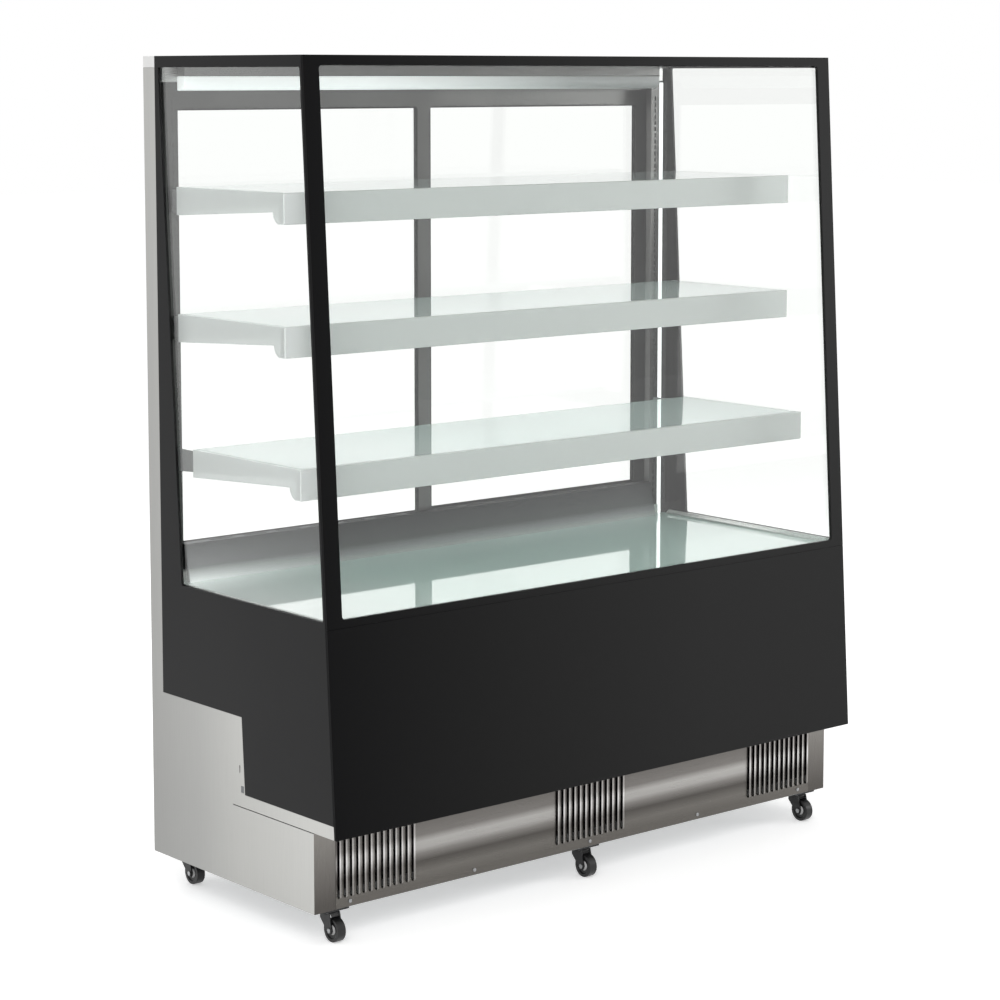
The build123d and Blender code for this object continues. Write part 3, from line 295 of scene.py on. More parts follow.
# texture scales in waves per metre, from the real spacing of each mark
waves = {
    "hairline": 650, "toolMark": 500, "peel": 700, "dieLine": 500, "spangle": 80, "spark": 900,
    "coatCloud": 3.0, "metalCloud": 5, "mouldCloud": 14, "rollerWave": 5,
}


def brushedSheet(name, stops, drift, grain, roughness, paintedLift=None):
    # grit-brushed sheet: hairlines run one way and drag each highlight out across them;
    # real hairlines are 0.1 mm apart, drawn 1.5 mm apart so that they just show;
    # the tone drifts along the sheet and a painted lift lightens it up the sheet, both painted
    # reflection and shade
    material, tree, shader = newMaterial(name, {"Metallic": 1.0, "Roughness": roughness})
    hairlines = stretchedNoise(tree, waves["hairline"], grain, 2.0)
    tone = tonesBy(tree, along(tree, *drift), stops)
    tone = withPaintedLight(tree, tone, paintedLift)
    tone = shaded(tree, tone, hairlines.outputs["Fac"], 0.965, 1.035)
    tree.links.new(tone, shader.inputs["Base Color"])
    varyRoughness(tree, shader, hairlines.outputs["Fac"], roughness - 0.04, roughness + 0.05)
    giveBump(tree, shader, hairlines.outputs["Fac"], 0.05, 0.05)
    return material


def brushedMetal(name, first, second, grain, roughness):
    # small metal parts: drawn, turned or plated, with the tool's fine marks
    material, tree, shader = newMaterial(name, {"Metallic": 1.0, "Roughness": roughness})
    marks = stretchedNoise(tree, waves["toolMark"], grain, 2.0)
    tree.links.new(twoTones(tree, marks.outputs["Fac"], first, second), shader.inputs["Base Color"])
    varyRoughness(tree, shader, marks.outputs["Fac"], roughness - 0.06, roughness + 0.08)
    return material


def powderCoat(name, first, second, roughness, gloss=0.4):
    # baked polyester powder: a fine orange peel, 1 to 2 mm across, breaks up the sheen
    material, tree, shader = newMaterial(name, {"Roughness": roughness, "Specular IOR Level": gloss})
    peel = stretchedNoise(tree, waves["peel"], evenly, 2.0)
    clouds = stretchedNoise(tree, waves["coatCloud"], evenly, 2.0)
    tree.links.new(twoTones(tree, clouds.outputs["Fac"], first, second), shader.inputs["Base Color"])
    varyRoughness(tree, shader, clouds.outputs["Fac"], roughness - 0.04, roughness + 0.05)
    giveBump(tree, shader, peel.outputs["Fac"], 0.03, 0.05)
    return material


def driftingCoat(name, stops, drift, roughness, gloss, paintedLift=None):
    # the same powder on a wide panel, whose colour drifts from one end to the other as a painted sheen
    # and shade
    material, tree, shader = newMaterial(name, {"Roughness": roughness, "Specular IOR Level": gloss})
    peel = stretchedNoise(tree, waves["peel"], evenly, 2.0)
    tone = withPaintedLight(tree, tonesBy(tree, along(tree, *drift), stops), paintedLift)
    tree.links.new(tone, shader.inputs["Base Color"])
    varyRoughness(tree, shader, peel.outputs["Fac"], roughness - 0.03, roughness + 0.03)
    giveBump(tree, shader, peel.outputs["Fac"], 0.03, 0.05)
    return material


def anodised(name, stops, roughness, drift=None, grain=(1, 1, 0.03)):
    # extruded aluminium, etched and anodised: satin, with faint die lines along the length
    material, tree, shader = newMaterial(name, {"Metallic": 0.85, "Roughness": roughness})
    lines = stretchedNoise(tree, waves["dieLine"], grain, 2.0)
    if drift:
        source = along(tree, *drift)
    else:
        source = stretchedNoise(tree, waves["metalCloud"], evenly, 1.0).outputs["Fac"]
    tree.links.new(tonesBy(tree, source, stops), shader.inputs["Base Color"])
    varyRoughness(tree, shader, lines.outputs["Fac"], roughness - 0.06, roughness + 0.06)
    giveBump(tree, shader, lines.outputs["Fac"], 0.05, 0.06)
    return material


def spangledZinc(name, first, second):
    # hot-dip galvanised sheet: crystals 10 to 15 mm across catch the light differently
    material, tree, shader = newMaterial(name, {"Metallic": 1.0, "Roughness": 0.45})
    place = addNode(tree, "ShaderNodeTexCoord")
    spangle = addNode(
        tree, "ShaderNodeTexVoronoi", {"Scale": waves["spangle"]}, {"Vector": place.outputs["Object"]}
    )
    tree.links.new(twoTones(tree, spangle.outputs["Color"], first, second), shader.inputs["Base Color"])
    tree.links.new(spread(tree, spangle.outputs["Color"], 0.34, 0.52, 0, 1), shader.inputs["Roughness"])
    return material


def moulded(name, first, second, roughness):
    # injection-moulded plastic with a spark-eroded texture, which takes the shine off
    material, tree, shader = newMaterial(name, {"Roughness": roughness, "IOR": 1.46})
    texture = stretchedNoise(tree, waves["spark"], evenly, 2.0)
    clouds = stretchedNoise(tree, waves["mouldCloud"], evenly, 1.0)
    tree.links.new(twoTones(tree, clouds.outputs["Fac"], first, second), shader.inputs["Base Color"])
    varyRoughness(tree, shader, texture.outputs["Fac"], roughness - 0.06, roughness + 0.06)
    giveBump(tree, shader, texture.outputs["Fac"], 0.15, 0.08)
    return material


def letsLampsThrough(tree, shader, tone):
    # lamps shine through the pane, so that what stands behind it isn't in the dark
    path = addNode(tree, "ShaderNodeLightPath")
    clear = addNode(tree, "ShaderNodeBsdfTransparent", {"Color": colourOf(tone)})
    both = addNode(
        tree, "ShaderNodeMixShader", {},
        {0: path.outputs["Is Shadow Ray"], 1: shader.outputs["BSDF"], 2: clear.outputs["BSDF"]},
    )
    tree.links.new(both.outputs[0], tree.nodes["Material Output"].inputs["Surface"])


def floatGlass(name, tone):
    # toughened float glass: clear, a breath of green, and a faint roller wave over 200 mm
    values = {"Base Color": colourOf(tone), "Roughness": 0.0, "IOR": 1.5, "Transmission Weight": 1.0}
    material, tree, shader = newMaterial(name, values)
    wave = stretchedNoise(tree, waves["rollerWave"], evenly, 1.0)
    giveBump(tree, shader, wave.outputs["Fac"], 0.02, 0.2)
    letsLampsThrough(tree, shader, "#fbfdfc")
    return material


def milkyGlass(name, first, second, through):
    # lit shelf glass: a white bloom over the clear pane, below a hard polished face
    values = {"Roughness": 0.03, "IOR": 1.5, "Transmission Weight": through}
    material, tree, shader = newMaterial(name, values)
    clouds = stretchedNoise(tree, 1.6, evenly, 0.0)
    tree.links.new(twoTones(tree, clouds.outputs["Fac"], first, second), shader.inputs["Base Color"])
    letsLampsThrough(tree, shader, "#e4efec")
    return material


def backedGlass(name, stops, drift):
    # glass painted on its underside: pale colour below a hard polished face
    values = {"Roughness": 0.05, "IOR": 1.52, "Coat Weight": 1.0, "Coat Roughness": 0.02}
    material, tree, shader = newMaterial(name, values)
    clouds = stretchedNoise(tree, 2.5, evenly, 0.0)
    tree.links.new(tonesBy(tree, along(tree, *drift), stops), shader.inputs["Base Color"])
    varyRoughness(tree, shader, clouds.outputs["Fac"], 0.04, 0.08)
    return material


def opalAcrylic(name, stops, through, drift=None):
    # milky cast acrylic: some light passes, softened, and the faces keep a low gloss
    values = {"Roughness": 0.3, "IOR": 1.49, "Transmission Weight": through}
    material, tree, shader = newMaterial(name, values)
    if drift:
        source = along(tree, *drift)
    else:
        source = stretchedNoise(tree, 1.4, evenly, 0.0).outputs["Fac"]
    tree.links.new(tonesBy(tree, source, stops), shader.inputs["Base Color"])
    return material


def litOpal(name, stops, drift, fade):
    # opal cover over a row of light-emitting diodes; its light fades along it, and its colour darkens
    # along it as painted shade
    values = {"Roughness": 0.4, "Emission Color": colourOf("#f7fbfa")}
    material, tree, shader = newMaterial(name, values)
    tree.links.new(tonesBy(tree, along(tree, *drift), stops), shader.inputs["Base Color"])
    tree.links.new(along(tree, *fade), shader.inputs["Emission Strength"])
    return material


blackCoat = powderCoat("satin black powder coat", "#0a0a0b", "#0f0f10", 0.4, 0.16)
# the black front is painted lighter towards its right end: a painted sheen
frontCoatPaintedSheen = driftingCoat(
    "satin black powder coat with painted sheen on the front", [(0, "#050506"), (0.5, "#1a1a1a"), (1, "#242424")],
    ("X", -0.75, 0.3), 0.42, 0.07,
)
greyCoat = powderCoat("grey powder coat", "#7c7d7d", "#868786", 0.45)
# painted light and shade: pale at the foot where the deck lights it, dark at the top, and lighter
# towards the left end
airCoatPaintedLight = driftingCoat(
    "grey powder coat on the air panel", [(0, "#b4b6b6"), (0.4, "#4c4d4e"), (1, "#28292a")],
    ("Z", 0.665, 0.75), 0.5, 0.15, ("X", -0.7, -0.3, 2.2, 0.75),
)
# painted reflection: the side steel is painted lighter towards the front and, with the painted lift,
# lighter up the side
sideSteelPaintedReflection = brushedSheet(
    "upright-brushed stainless with painted reflection",
    [(0, "#bdbdba"), (0.45, "#afafac"), (0.72, "#9e9e9c"), (1, "#949492")],
    ("Y", -0.27, 0.31), upright, 0.34, ("Z", 0.2, 1.7, 0.97, 1.6),
)
# the kick steel carries a painted reflection band: a light stripe across the middle of its height,
# darker above and below
kickSpan = ("Z", 0.085, 0.232)
kickSteelPaintedBand = brushedSheet(
    "length-brushed kick stainless with painted reflection band",
    [
        (0, "#64615d"), (0.14, "#6d6a66"), (0.3, "#524f4c"), (0.41, "#7b7875"), (0.49, "#a09e9b"),
        (0.58, "#a5a3a0"), (0.68, "#75726f"), (0.85, "#6a6764"), (1, "#4b4846"),
    ],
    kickSpan, lengthwise, 0.3,
)
# painted shade: the corner returns darken towards the floor
returnSteelPaintedShade = brushedSheet(
    "corner return stainless with painted shade", [(0, "#55524f"), (1, "#807d79")], kickSpan, upright, 0.3
)
# the louvre hoods carry the same painted reflection band across the kick's height
ribSteelPaintedBand = brushedSheet(
    "pressed louvre stainless with painted reflection band",
    [
        (0, "#8b8885"), (0.33, "#8f8c89"), (0.5, "#d2d0ce"), (0.6, "#d6d4d2"), (0.72, "#a3a09d"),
        (1, "#8b8885"),
    ],
    kickSpan, lengthwise, 0.3,
)
grilleSteel = brushedSheet(
    "length-brushed stainless", [(0, "#9a9996"), (1, "#a9a8a5")], ("Z", 0.1, 0.65), lengthwise, 0.3
)
doorAluminium = anodised("satin anodised aluminium", [(0.35, "#515150"), (0.65, "#5c5c5b")], 0.36)
# painted shade: the lamp body darkens from its left end to its right
lampAluminiumPaintedShade = anodised(
    "satin anodised lamp body with painted shade", [(0, "#868685"), (0.5, "#6c6c6b"), (1, "#555554")], 0.36,
    ("X", -0.65, 0.4),
)
lightAluminium = anodised(
    "bright anodised aluminium", [(0.35, "#b4b5b4"), (0.65, "#c4c5c3")], 0.3, grain=(0.03, 1, 1)
)
zincSheet = spangledZinc("galvanised sheet", "#989b9c", "#b0b3b4")
zincPlate = brushedMetal("zinc plate", "#8f9092", "#aaabac", evenly, 0.3)
blackSteel = powderCoat("black enamelled caster steel", "#121213", "#19191a", 0.35, 0.4)
finStock = brushedMetal("mill-finish aluminium fins", "#b8babb", "#cfd0d1", (1, 1, 0.1), 0.36)
darkEnamel = powderCoat("dark motor enamel", "#2c2d2f", "#35363a", 0.35)
glossEnamel = powderCoat("gloss black enamel", "#0b0b0c", "#101011", 0.18)
copperTube = brushedMetal("drawn copper tube", "#b87a5a", "#c88a68", (0.3, 0.3, 0.3), 0.3)
tankSkin = driftingCoat(
    "white coated tank skin", [(0, "#cfd0ce"), (1, "#d8d9d7")], ("Z", 0.24, 0.68), 0.45, 0.3
)
greyMoulding = moulded("grey moulding", "#6f7173", "#7c7e80", 0.5)
blackMoulding = moulded("black moulded plastic", "#0f0f10", "#151516", 0.42)
whiteMoulding = moulded("white moulded end cap", "#dcdcdb", "#e6e6e5", 0.4)
blackTyre = moulded("black wheel polyurethane", "#0d0d0e", "#141415", 0.36)
greyHub = moulded("grey wheel hub", "#b9b9b9", "#c8c8c8", 0.4)
seal = moulded("black sealing rubber", "#101010", "#181818", 0.62)
clearGlass = floatGlass("toughened clear glass", "#fefffe")
shelfPane = milkyGlass("shelf glass", "#e2efec", "#edf5f3", 0.62)
deckGlass = backedGlass(
    "pale backed glass", [(0, "#dbe4e1"), (0.3, "#c4ded6"), (1, "#cde5de")], ("X", -0.72, 0.7)
)
opalRail = opalAcrylic(
    "opal acrylic rail", [(0, "#c0c3c3"), (0.035, "#bbbfbe"), (0.06, "#a3a9a7"), (1, "#aeb3b1")],
    0.0, ("X", -0.724, 0.25),
)
opalEnd = opalAcrylic("opal acrylic rail end", [(0.35, "#e6eae9"), (0.65, "#eef1f0")], 0.0)
frostedArm = opalAcrylic("frosted acrylic arm", [(0.35, "#dde2e0"), (0.65, "#e6eae9")], 0.4)
# the cover is painted grey towards its right end: painted shade; its light also fades that way
litCoverPaintedShade = litOpal(
    "lit opal cover with painted shade", [(0, "#e6ecec"), (0.5, "#dfe5e5"), (1, "#9a9d9d")], ("X", -0.6, 0.62),
    ("X", -0.2, 0.4, 0.56, 0.02),
)
ledRow = litOpal(
    "light strip", [(0, "#ffffff"), (1, "#f4f6f6")], ("Z", 0.6, 1.8), ("Z", 0.6, 1.8, 1.3, 1.2)
)
darkDisplay = moulded("dark display window", "#070708", "#0a0a0b", 0.12)
keyRubber = moulded("grey keypad rubber", "#7d7f81", "#888a8c", 0.5)
print("materials made")

# CAD nodes that keep their shape get these finishes
carriedFinish = {
    "front_glass": clearGlass, "side_glass": clearGlass,
    "door_left_glass": clearGlass, "door_right_glass": clearGlass, "shelf_glass": shelfPane,
    "rear_posts": zincSheet, "insulated_tank": tankSkin, "deck_plate": deckGlass,
    "evaporator_fan_panel": zincSheet, "condenser_shroud": zincSheet, "fan_motors": darkEnamel,
    "refrigerant_pipes": copperTube, "drain_set": greyMoulding, "electrical_box": greyMoulding,
    "cable_gland": blackMoulding, "panel_screws": zincPlate, "base_pan": zincSheet,
}
for node, finish in carriedFinish.items():
    nodes[node].data.materials.clear()
    nodes[node].data.materials.append(finish)

# Sheets, frames and profiles: the CAD shape with its edges rounded as the real ones are;
# each gives its rounding in millimetres, the steps of it, its finish and its slot
softened = {
    "side_sheets": (0.5, 2, sideSteelPaintedReflection, "stainless"),
    "front_panel": (1.2, 3, frontCoatPaintedSheen, "black_paint"),
    "front_frame": (1.2, 3, frontCoatPaintedSheen, "black_paint"),
    "side_frame_left": (1.0, 2, blackCoat, "black_paint"),
    "side_frame_right": (1.0, 2, blackCoat, "black_paint"),
    "roof_panel": (1.5, 3, blackCoat, "black_paint"),
    "rear_header": (1.0, 2, lightAluminium, "aluminium"),
    "header_end_caps": (1.0, 2, whiteMoulding, "white_plastic"),
    "deck_trim": (0.8, 2, lightAluminium, "aluminium"),
    "rear_air_panel": (0.8, 2, airCoatPaintedLight, "grey_paint"),
    "door_frame_profiles": (0.5, 2, doorAluminium, "aluminium"),
    "shelf_uprights": (0.3, 2, doorAluminium, "aluminium"),
    "shelf_brackets": (0.5, 2, greyCoat, "grey_paint"),
    "canopy_lamp_housing": (1.5, 3, lampAluminiumPaintedShade, "aluminium"),
    "canopy_lamp_diffuser": (1.0, 2, litCoverPaintedShade, "lamp"),
    "corner_lamps": (0.6, 2, ledRow, "lamp"),
    "caster_mounts": (0.4, 2, blackSteel, "caster_steel"),
}
sideSheet = {"returnTop": 0.236, "returnFrontOf": -0.2}
notchPlug = {"low": (-750.2, -22, 271), "high": (-747, -12, 285), "edge": 0.4}


def onReturn(face):
    # the folded returns at the front of the side sheets
    middle = face.center
    low = middle.z < sideSheet["returnTop"] and middle.y < sideSheet["returnFrontOf"]
    return int(low and face.normal.y < -0.9)


def softenSheets():
    for node, (radius, steps, finish, slotName) in softened.items():
        piece = copyOfNode(node, "soft_" + node)
        softenEdges(piece, radius, steps)
        keepInside(piece, node)
        if node == "side_sheets":
            finishFaces(piece, (finish, returnSteelPaintedShade), onReturn)
            finish = None
        dress(piece, finish, standsFor=(node,))
    plug = bar("notch_plug", notchPlug["low"], notchPlug["high"])
    plugs = joined("notch_plugs", plug, flipped(plug, "notch_plug_right"))
    softenEdges(plugs, notchPlug["edge"])
    dress(plugs, greyMoulding)
    print("sheets and profiles softened")


softenSheets()

# The front base panel and the rear grille get pressed louvres
louvre = {"proud": 4, "sheet": 0.8, "opening": 0.15, "endRound": 0.42, "panelEdge": 0.4}
kick = {
    "pitch": 16, "count": 13, "groups": (-591.5, 0, 591.5), "middle": 155, "face": -268,
    "length": 126, "width": 10,
}
grille = {
    "columns": (-150, 0, 150, 300, 450), "rows": 10, "pitch": 22, "first": 140,
    "length": 88, "width": 9, "face": 325,
}


def pressedLouvre(name, width, length):
    # half a rounded hood over the slot, cut open along one side
    hood = rod(name, (0, 0, 0), width / 2, length, sides=24)
    softenEdges(hood, width * louvre["endRound"], 3, 60)
    editMode(hood)
    bpy.ops.mesh.select_all(action="SELECT")
    bpy.ops.mesh.bisect(plane_co=(0, 0, 0), plane_no=(0, 1, 0), clear_outer=True)
    bpy.ops.mesh.select_all(action="SELECT")
    bpy.ops.transform.resize(value=(1, louvre["proud"] / (width / 2), 1))
    bpy.ops.mesh.select_all(action="SELECT")
    bpy.ops.mesh.bisect(
        plane_co=(-width * louvre["opening"] * mm, 0, 0), plane_no=(1, 0, 0), clear_inner=True
    )
    objectMode()
    applyModifier(hood, "SOLIDIFY", thickness=louvre["sheet"] * mm, offset=1)
    return hood


def louvredPanels():
    hood = pressedLouvre("kick_louvre", kick["width"], kick["length"])
    panel = copyOfNode("kick_panel", "kick_panel_pressed")
    softenEdges(panel, louvre["panelEdge"])
    hoods = []
    for middle in kick["groups"]:
        first = middle - kick["pitch"] * (kick["count"] - 1) / 2
        for i in range(kick["count"]):
            x = first + i * kick["pitch"]
            hoods.append(shifted(hood, "kick_louvre_copy", x, kick["face"], kick["middle"]))
    panel = joined("kick_panel_pressed", panel, *hoods)
    ribsFrontOf = (kick["face"] - louvre["panelEdge"]) * mm
    finishFaces(panel, (kickSteelPaintedBand, ribSteelPaintedBand), lambda face: int(face.center.y < ribsFrontOf))
    dress(panel, None, standsFor=("kick_panel",))
    discard(hood)

    hood = pressedLouvre("grille_louvre", grille["width"], grille["length"])
    hood.data.transform(Matrix.Rotation(math.radians(90), 4, "Y") @ Matrix.Rotation(math.pi, 4, "Z"))
    panel = copyOfNode("rear_grille", "rear_grille_pressed")
    softenEdges(panel, louvre["panelEdge"])
    hoods = [
        shifted(hood, "grille_louvre_copy", x, grille["face"], grille["first"] + row * grille["pitch"])
        for x in grille["columns"]
        for row in range(grille["rows"])
    ]
    panel = joined("rear_grille_pressed", panel, *hoods)
    dress(panel, grilleSteel, standsFor=("rear_grille",))
    discard(hood)
    print("louvred panels made")


louvredPanels()

# Casters: each wheel and fork is made where its CAD node stands
caster = {
    "wheelRadius": 25, "wheelWidth": 20, "trail": 18, "rim": 6.5, "dish": 3, "web": 7,
    "rimSlope": 1.2, "hubSlope": 0.8, "wheelEdge": 0.8, "forkEdge": 0.5, "forkHalf": 14,
    "nut": 5.5, "nutDepth": 2.6, "nutEdge": 0.4,
    "dustRing": 17.5, "ringBead": 1.6, "ringHeight": 59.2,
}


def casterWheel(name, x, y):
    # tyre, recessed dish and hub from one cylinder, inset from both ends
    radius = caster["wheelRadius"]
    wheel = rod(name, (x, y, radius), radius, caster["wheelWidth"], "X", 72)
    chooseFaces(wheel, lambda face: abs(face.normal.x) > 0.9)
    editMode(wheel)
    bpy.ops.mesh.inset(thickness=caster["rim"] * mm, depth=0)
    bpy.ops.mesh.inset(thickness=caster["rimSlope"] * mm, depth=-caster["dish"] * mm)
    bpy.ops.mesh.inset(thickness=caster["web"] * mm, depth=0)
    bpy.ops.mesh.inset(thickness=caster["hubSlope"] * mm, depth=caster["dish"] * 0.9 * mm)
    objectMode()
    softenEdges(wheel, caster["wheelEdge"], 3, 40)
    hub = radius - caster["rim"] - caster["web"] - 1

    def onHub(face):
        up = face.center.z - radius * mm
        return math.hypot(face.center.y - y * mm, up) < hub * mm

    finishFaces(wheel, (blackTyre, greyHub), lambda face: int(onHub(face)))
    return wheel


def makeCasters():
    for place in casterNames:
        low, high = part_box("caster_wheel_" + place)
        x, y = (low.x + high.x) / 2 / mm, (low.y + high.y) / 2 / mm
        wheel = casterWheel("wheel_" + place, x, y)
        dress(wheel, None, "wheel_" + place, ("caster_wheel_" + place,))
        fork = copyOfNode("caster_fork_" + place, "fork_" + place)
        softenEdges(fork, caster["forkEdge"])
        bpy.ops.mesh.primitive_torus_add(
            major_radius=caster["dustRing"] * mm, minor_radius=caster["ringBead"] * mm,
            major_segments=48, minor_segments=10,
            location=(x * mm, (y + caster["trail"]) * mm, caster["ringHeight"] * mm),
        )
        ring = newest("dust_ring")
        settle(ring)
        fork = joined("fork_" + place, fork, ring)
        dress(fork, blackSteel, "fork_" + place, ("caster_fork_" + place,))
        nuts = []
        for side in (-1, 1):
            outward = side * (caster["forkHalf"] + caster["nutDepth"] / 2)
            nut = rod(
                "nut", (x + outward, y, caster["wheelRadius"]),
                caster["nut"], caster["nutDepth"], "X", 6,
            )
            softenEdges(nut, caster["nutEdge"])
            nuts.append(nut)
        nuts = joined("axle_nuts_" + place, *nuts)
        dress(nuts, zincPlate, "fork_" + place)
    print("casters made")


makeCasters()

# Shelves: opal rails in front, frosted arms at the ends, a strip of light in each rail
shelf = {
    "tops": (970, 1255, 1525), "fronts": (-202, -152, -152), "halfWidth": 724, "edge": 1.5,
    "railDepth": 22, "railHeight": 64, "armWall": 8,
    "stripWidth": 9, "stripHeight": 5, "stripRise": 2.5, "stripEnd": 2, "stripEdge": 1.2,
}


def makeShelves():
    fascia = copyOfNode("shelf_fascia", "shelf_rails")
    softenEdges(fascia, shelf["edge"], 3)

    def onWhich(face):
        place = face.center / mm
        middles = [top - shelf["railHeight"] / 2 for top in shelf["tops"]]
        level = min(range(3), key=lambda i: abs(middles[i] - place.z))
        if place.y > shelf["fronts"][level] + shelf["railDepth"] + 0.5:
            return 1
        atEnd = abs(face.normal.x) > 0.5 and abs(place.x) > shelf["halfWidth"] - 2 * shelf["edge"]
        return 2 if atEnd else 0

    finishFaces(fascia, (opalRail, frostedArm, opalEnd), onWhich)
    dress(fascia, None, standsFor=("shelf_fascia",))
    strips = []
    for top, front in zip(shelf["tops"], shelf["fronts"]):
        middle = front + shelf["railDepth"] / 2
        foot = top - shelf["railHeight"] + shelf["stripRise"]
        half = shelf["halfWidth"] - 2 * shelf["armWall"] - shelf["stripEnd"]
        strip = bar(
            "strip", (-half, middle - shelf["stripWidth"] / 2, foot),
            (half, middle + shelf["stripWidth"] / 2, foot + shelf["stripHeight"]),
        )
        softenEdges(strip, shelf["stripEdge"], 3)
        strips.append(strip)
    strips = joined("shelf_light_strips", *strips)
    dress(strips, ledRow)
    print("shelves made")


makeShelves()

# Sliding doors: rounded profiles, flush cups and glazing rubber; "left" is the left door's span
door = {
    "left": (-712, 8.75), "levels": (698, 1737), "stile": 35, "rail": 49, "thickness": 16,
    "fronts": {"left": 304.25, "right": 325.25}, "glass": 10, "edge": 0.8, "cupEdge": 0.7,
}
rubber = {"lip": 3.5, "thick": 2, "edge": 0.6, "offPane": 1.05}


def sealRing(name, y, low, high):
    # glazing rubber: a flat ring round the pane, given its thickness and a soft edge
    centre = ((low[0] + high[0]) / 2 * mm, y * mm, (low[1] + high[1]) / 2 * mm)
    bpy.ops.mesh.primitive_plane_add(size=1, location=centre, rotation=(math.pi / 2, 0, 0))
    ring = newest(name)
    ring.scale = ((high[0] - low[0]) * mm, (high[1] - low[1]) * mm, 1)
    settle(ring)
    chooseFaces(ring, lambda face: True)
    editMode(ring)
    bpy.ops.mesh.inset(thickness=rubber["lip"] * mm, depth=0)
    bpy.ops.mesh.delete(type="FACE")
    objectMode()
    applyModifier(ring, "SOLIDIFY", thickness=rubber["thick"] * mm, offset=0)
    softenEdges(ring, rubber["edge"], 2)
    return ring


def makeDoors():
    for side in ("left", "right"):
        body = "door_" + side
        start = door["fronts"][side]
        ring = copyOfNode(body + "_frame", body + "_profile")
        softenEdges(ring, door["edge"], 2)
        dress(ring, doorAluminium, body, (body + "_frame",))
        pull = copyOfNode(body + "_pull", body + "_cup")
        softenEdges(pull, door["cupEdge"], 3)
        dress(pull, blackMoulding, body, (body + "_pull",))
        x0, x1 = door["left"][0] + door["stile"], door["left"][1] - door["stile"]
        if side == "right":
            x0, x1 = -x1, -x0
        z0, z1 = door["levels"][0] + door["rail"], door["levels"][1] - door["rail"]
        paneFront = start + (door["thickness"] - door["glass"]) / 2
        paneBack = paneFront + door["glass"]
        rings = [
            sealRing("seal_front", paneFront - rubber["offPane"], (x0, z0), (x1, z1)),
            sealRing("seal_back", paneBack + rubber["offPane"], (x0, z0), (x1, z1)),
        ]
        rings = joined(body + "_seals", *rings)
        dress(rings, seal, body)
    print("doors made")


makeDoors()

# Controls at the back
controls = {
    "display": ((-656, 331.1, 363.5), (-615, 331.9, 388.5)), "keySize": (7, 8), "keyProud": 1.0,
    "keyPlaces": ((-609, 382), (-598, 382), (-609, 370), (-598, 370)), "face": 331.6,
    "plateEdge": 0.6, "rockerEdge": 0.8, "displayEdge": 0.3, "keyEdge": 0.45,
}


def makeControls():
    panel = copyOfNode("control_panel", "control_plate")
    softenEdges(panel, controls["plateEdge"], 2)
    dress(panel, blackMoulding, standsFor=("control_panel",))
    for name in ("power_switch", "light_switch"):
        rocker = copyOfNode(name, name + "_rocker")
        softenEdges(rocker, controls["rockerEdge"], 3)
        dress(rocker, blackMoulding, name + "_body", (name,))
    window = bar("display_window", *controls["display"])
    softenEdges(window, controls["displayEdge"], 2)
    dress(window, darkDisplay)
    wide, tall = controls["keySize"]
    keys = []
    for x, z in controls["keyPlaces"]:
        low = (x - wide / 2, controls["face"], z - tall / 2)
        high = (x + wide / 2, controls["face"] + controls["keyProud"], z + tall / 2)
        key = bar("key", low, high)
        softenEdges(key, controls["keyEdge"], 3)
        keys.append(key)
    keys = joined("keypad", *keys)
    dress(keys, keyRubber)
    print("controls made")


makeControls()

# Cooling set: bladed fans, finned coils with their tubes, and the compressor's seam
blades = {
    "count": 5, "chord": 36, "sheet": 1.8, "pitch": 30, "twist": 14, "edge": 0.5,
    "hub": 20, "hubHeight": 18, "hubRim": 5, "hubDish": 2.5, "hubSlope": 2, "hubEdge": 1.5,
    "fans": {
        "evaporator_fan_left": ("evaporator_fan_left_body", 69.5, "Z"),
        "evaporator_fan_right": ("evaporator_fan_right_body", 69.5, "Z"),
        "condenser_fan": ("condenser_fan_body", 117.5, "Y"),
    },
}
coils = {
    "finPitch": 5, "fin": 0.5, "plate": 2, "overhang": 5, "above": 6, "tube": 4.8, "tubeStep": 25,
    "firstFin": 1, "tubeEnd": 4, "plateEdge": 0.5,
    "heights": {"evaporator_coil": 130, "condenser_coil": 288},
}
pot = {"seamRadius": 85.2, "seam": 1.8, "seamRise": 88, "rearReach": 85, "edge": 1.0}


def bladedFan(node, body, tip, axis):
    # a dished hub with blades that are turned to their pitch and twisted towards the tip
    low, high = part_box(node)
    hub = rod(node + "_bladed", (0, 0, 0), blades["hub"], blades["hubHeight"])
    chooseFaces(hub, lambda face: abs(face.normal.z) > 0.9)
    editMode(hub)
    bpy.ops.mesh.inset(thickness=blades["hubRim"] * mm, depth=0)
    bpy.ops.mesh.inset(thickness=blades["hubSlope"] * mm, depth=-blades["hubDish"] * mm)
    objectMode()
    softenEdges(hub, blades["hubEdge"], 3)
    root = blades["hub"] - 2
    blade = bar(
        "blade", (root, -blades["chord"] / 2, -blades["sheet"] / 2),
        (tip, blades["chord"] / 2, blades["sheet"] / 2),
    )
    editMode(blade)
    bpy.ops.mesh.select_all(action="SELECT")
    bpy.ops.mesh.subdivide(number_cuts=6)
    objectMode()
    blade.data.transform(Matrix.Rotation(math.radians(blades["pitch"]), 4, "X"))
    applyModifier(
        blade, "SIMPLE_DEFORM", deform_method="TWIST", deform_axis="X",
        angle=-math.radians(blades["twist"]),
    )
    softenEdges(blade, blades["edge"])
    around = [
        copyOf(blade, "blade_copy", Matrix.Rotation(2 * math.pi * i / blades["count"], 4, "Z"))
        for i in range(blades["count"])
    ]
    discard(blade)
    fan = joined(node + "_bladed", hub, *around)
    if axis == "Y":
        fan.data.transform(Matrix.Rotation(-math.pi / 2, 4, "X"))
    fan.data.transform(Matrix.Translation((low + high) / 2))
    dress(fan, blackMoulding, body, (node,))


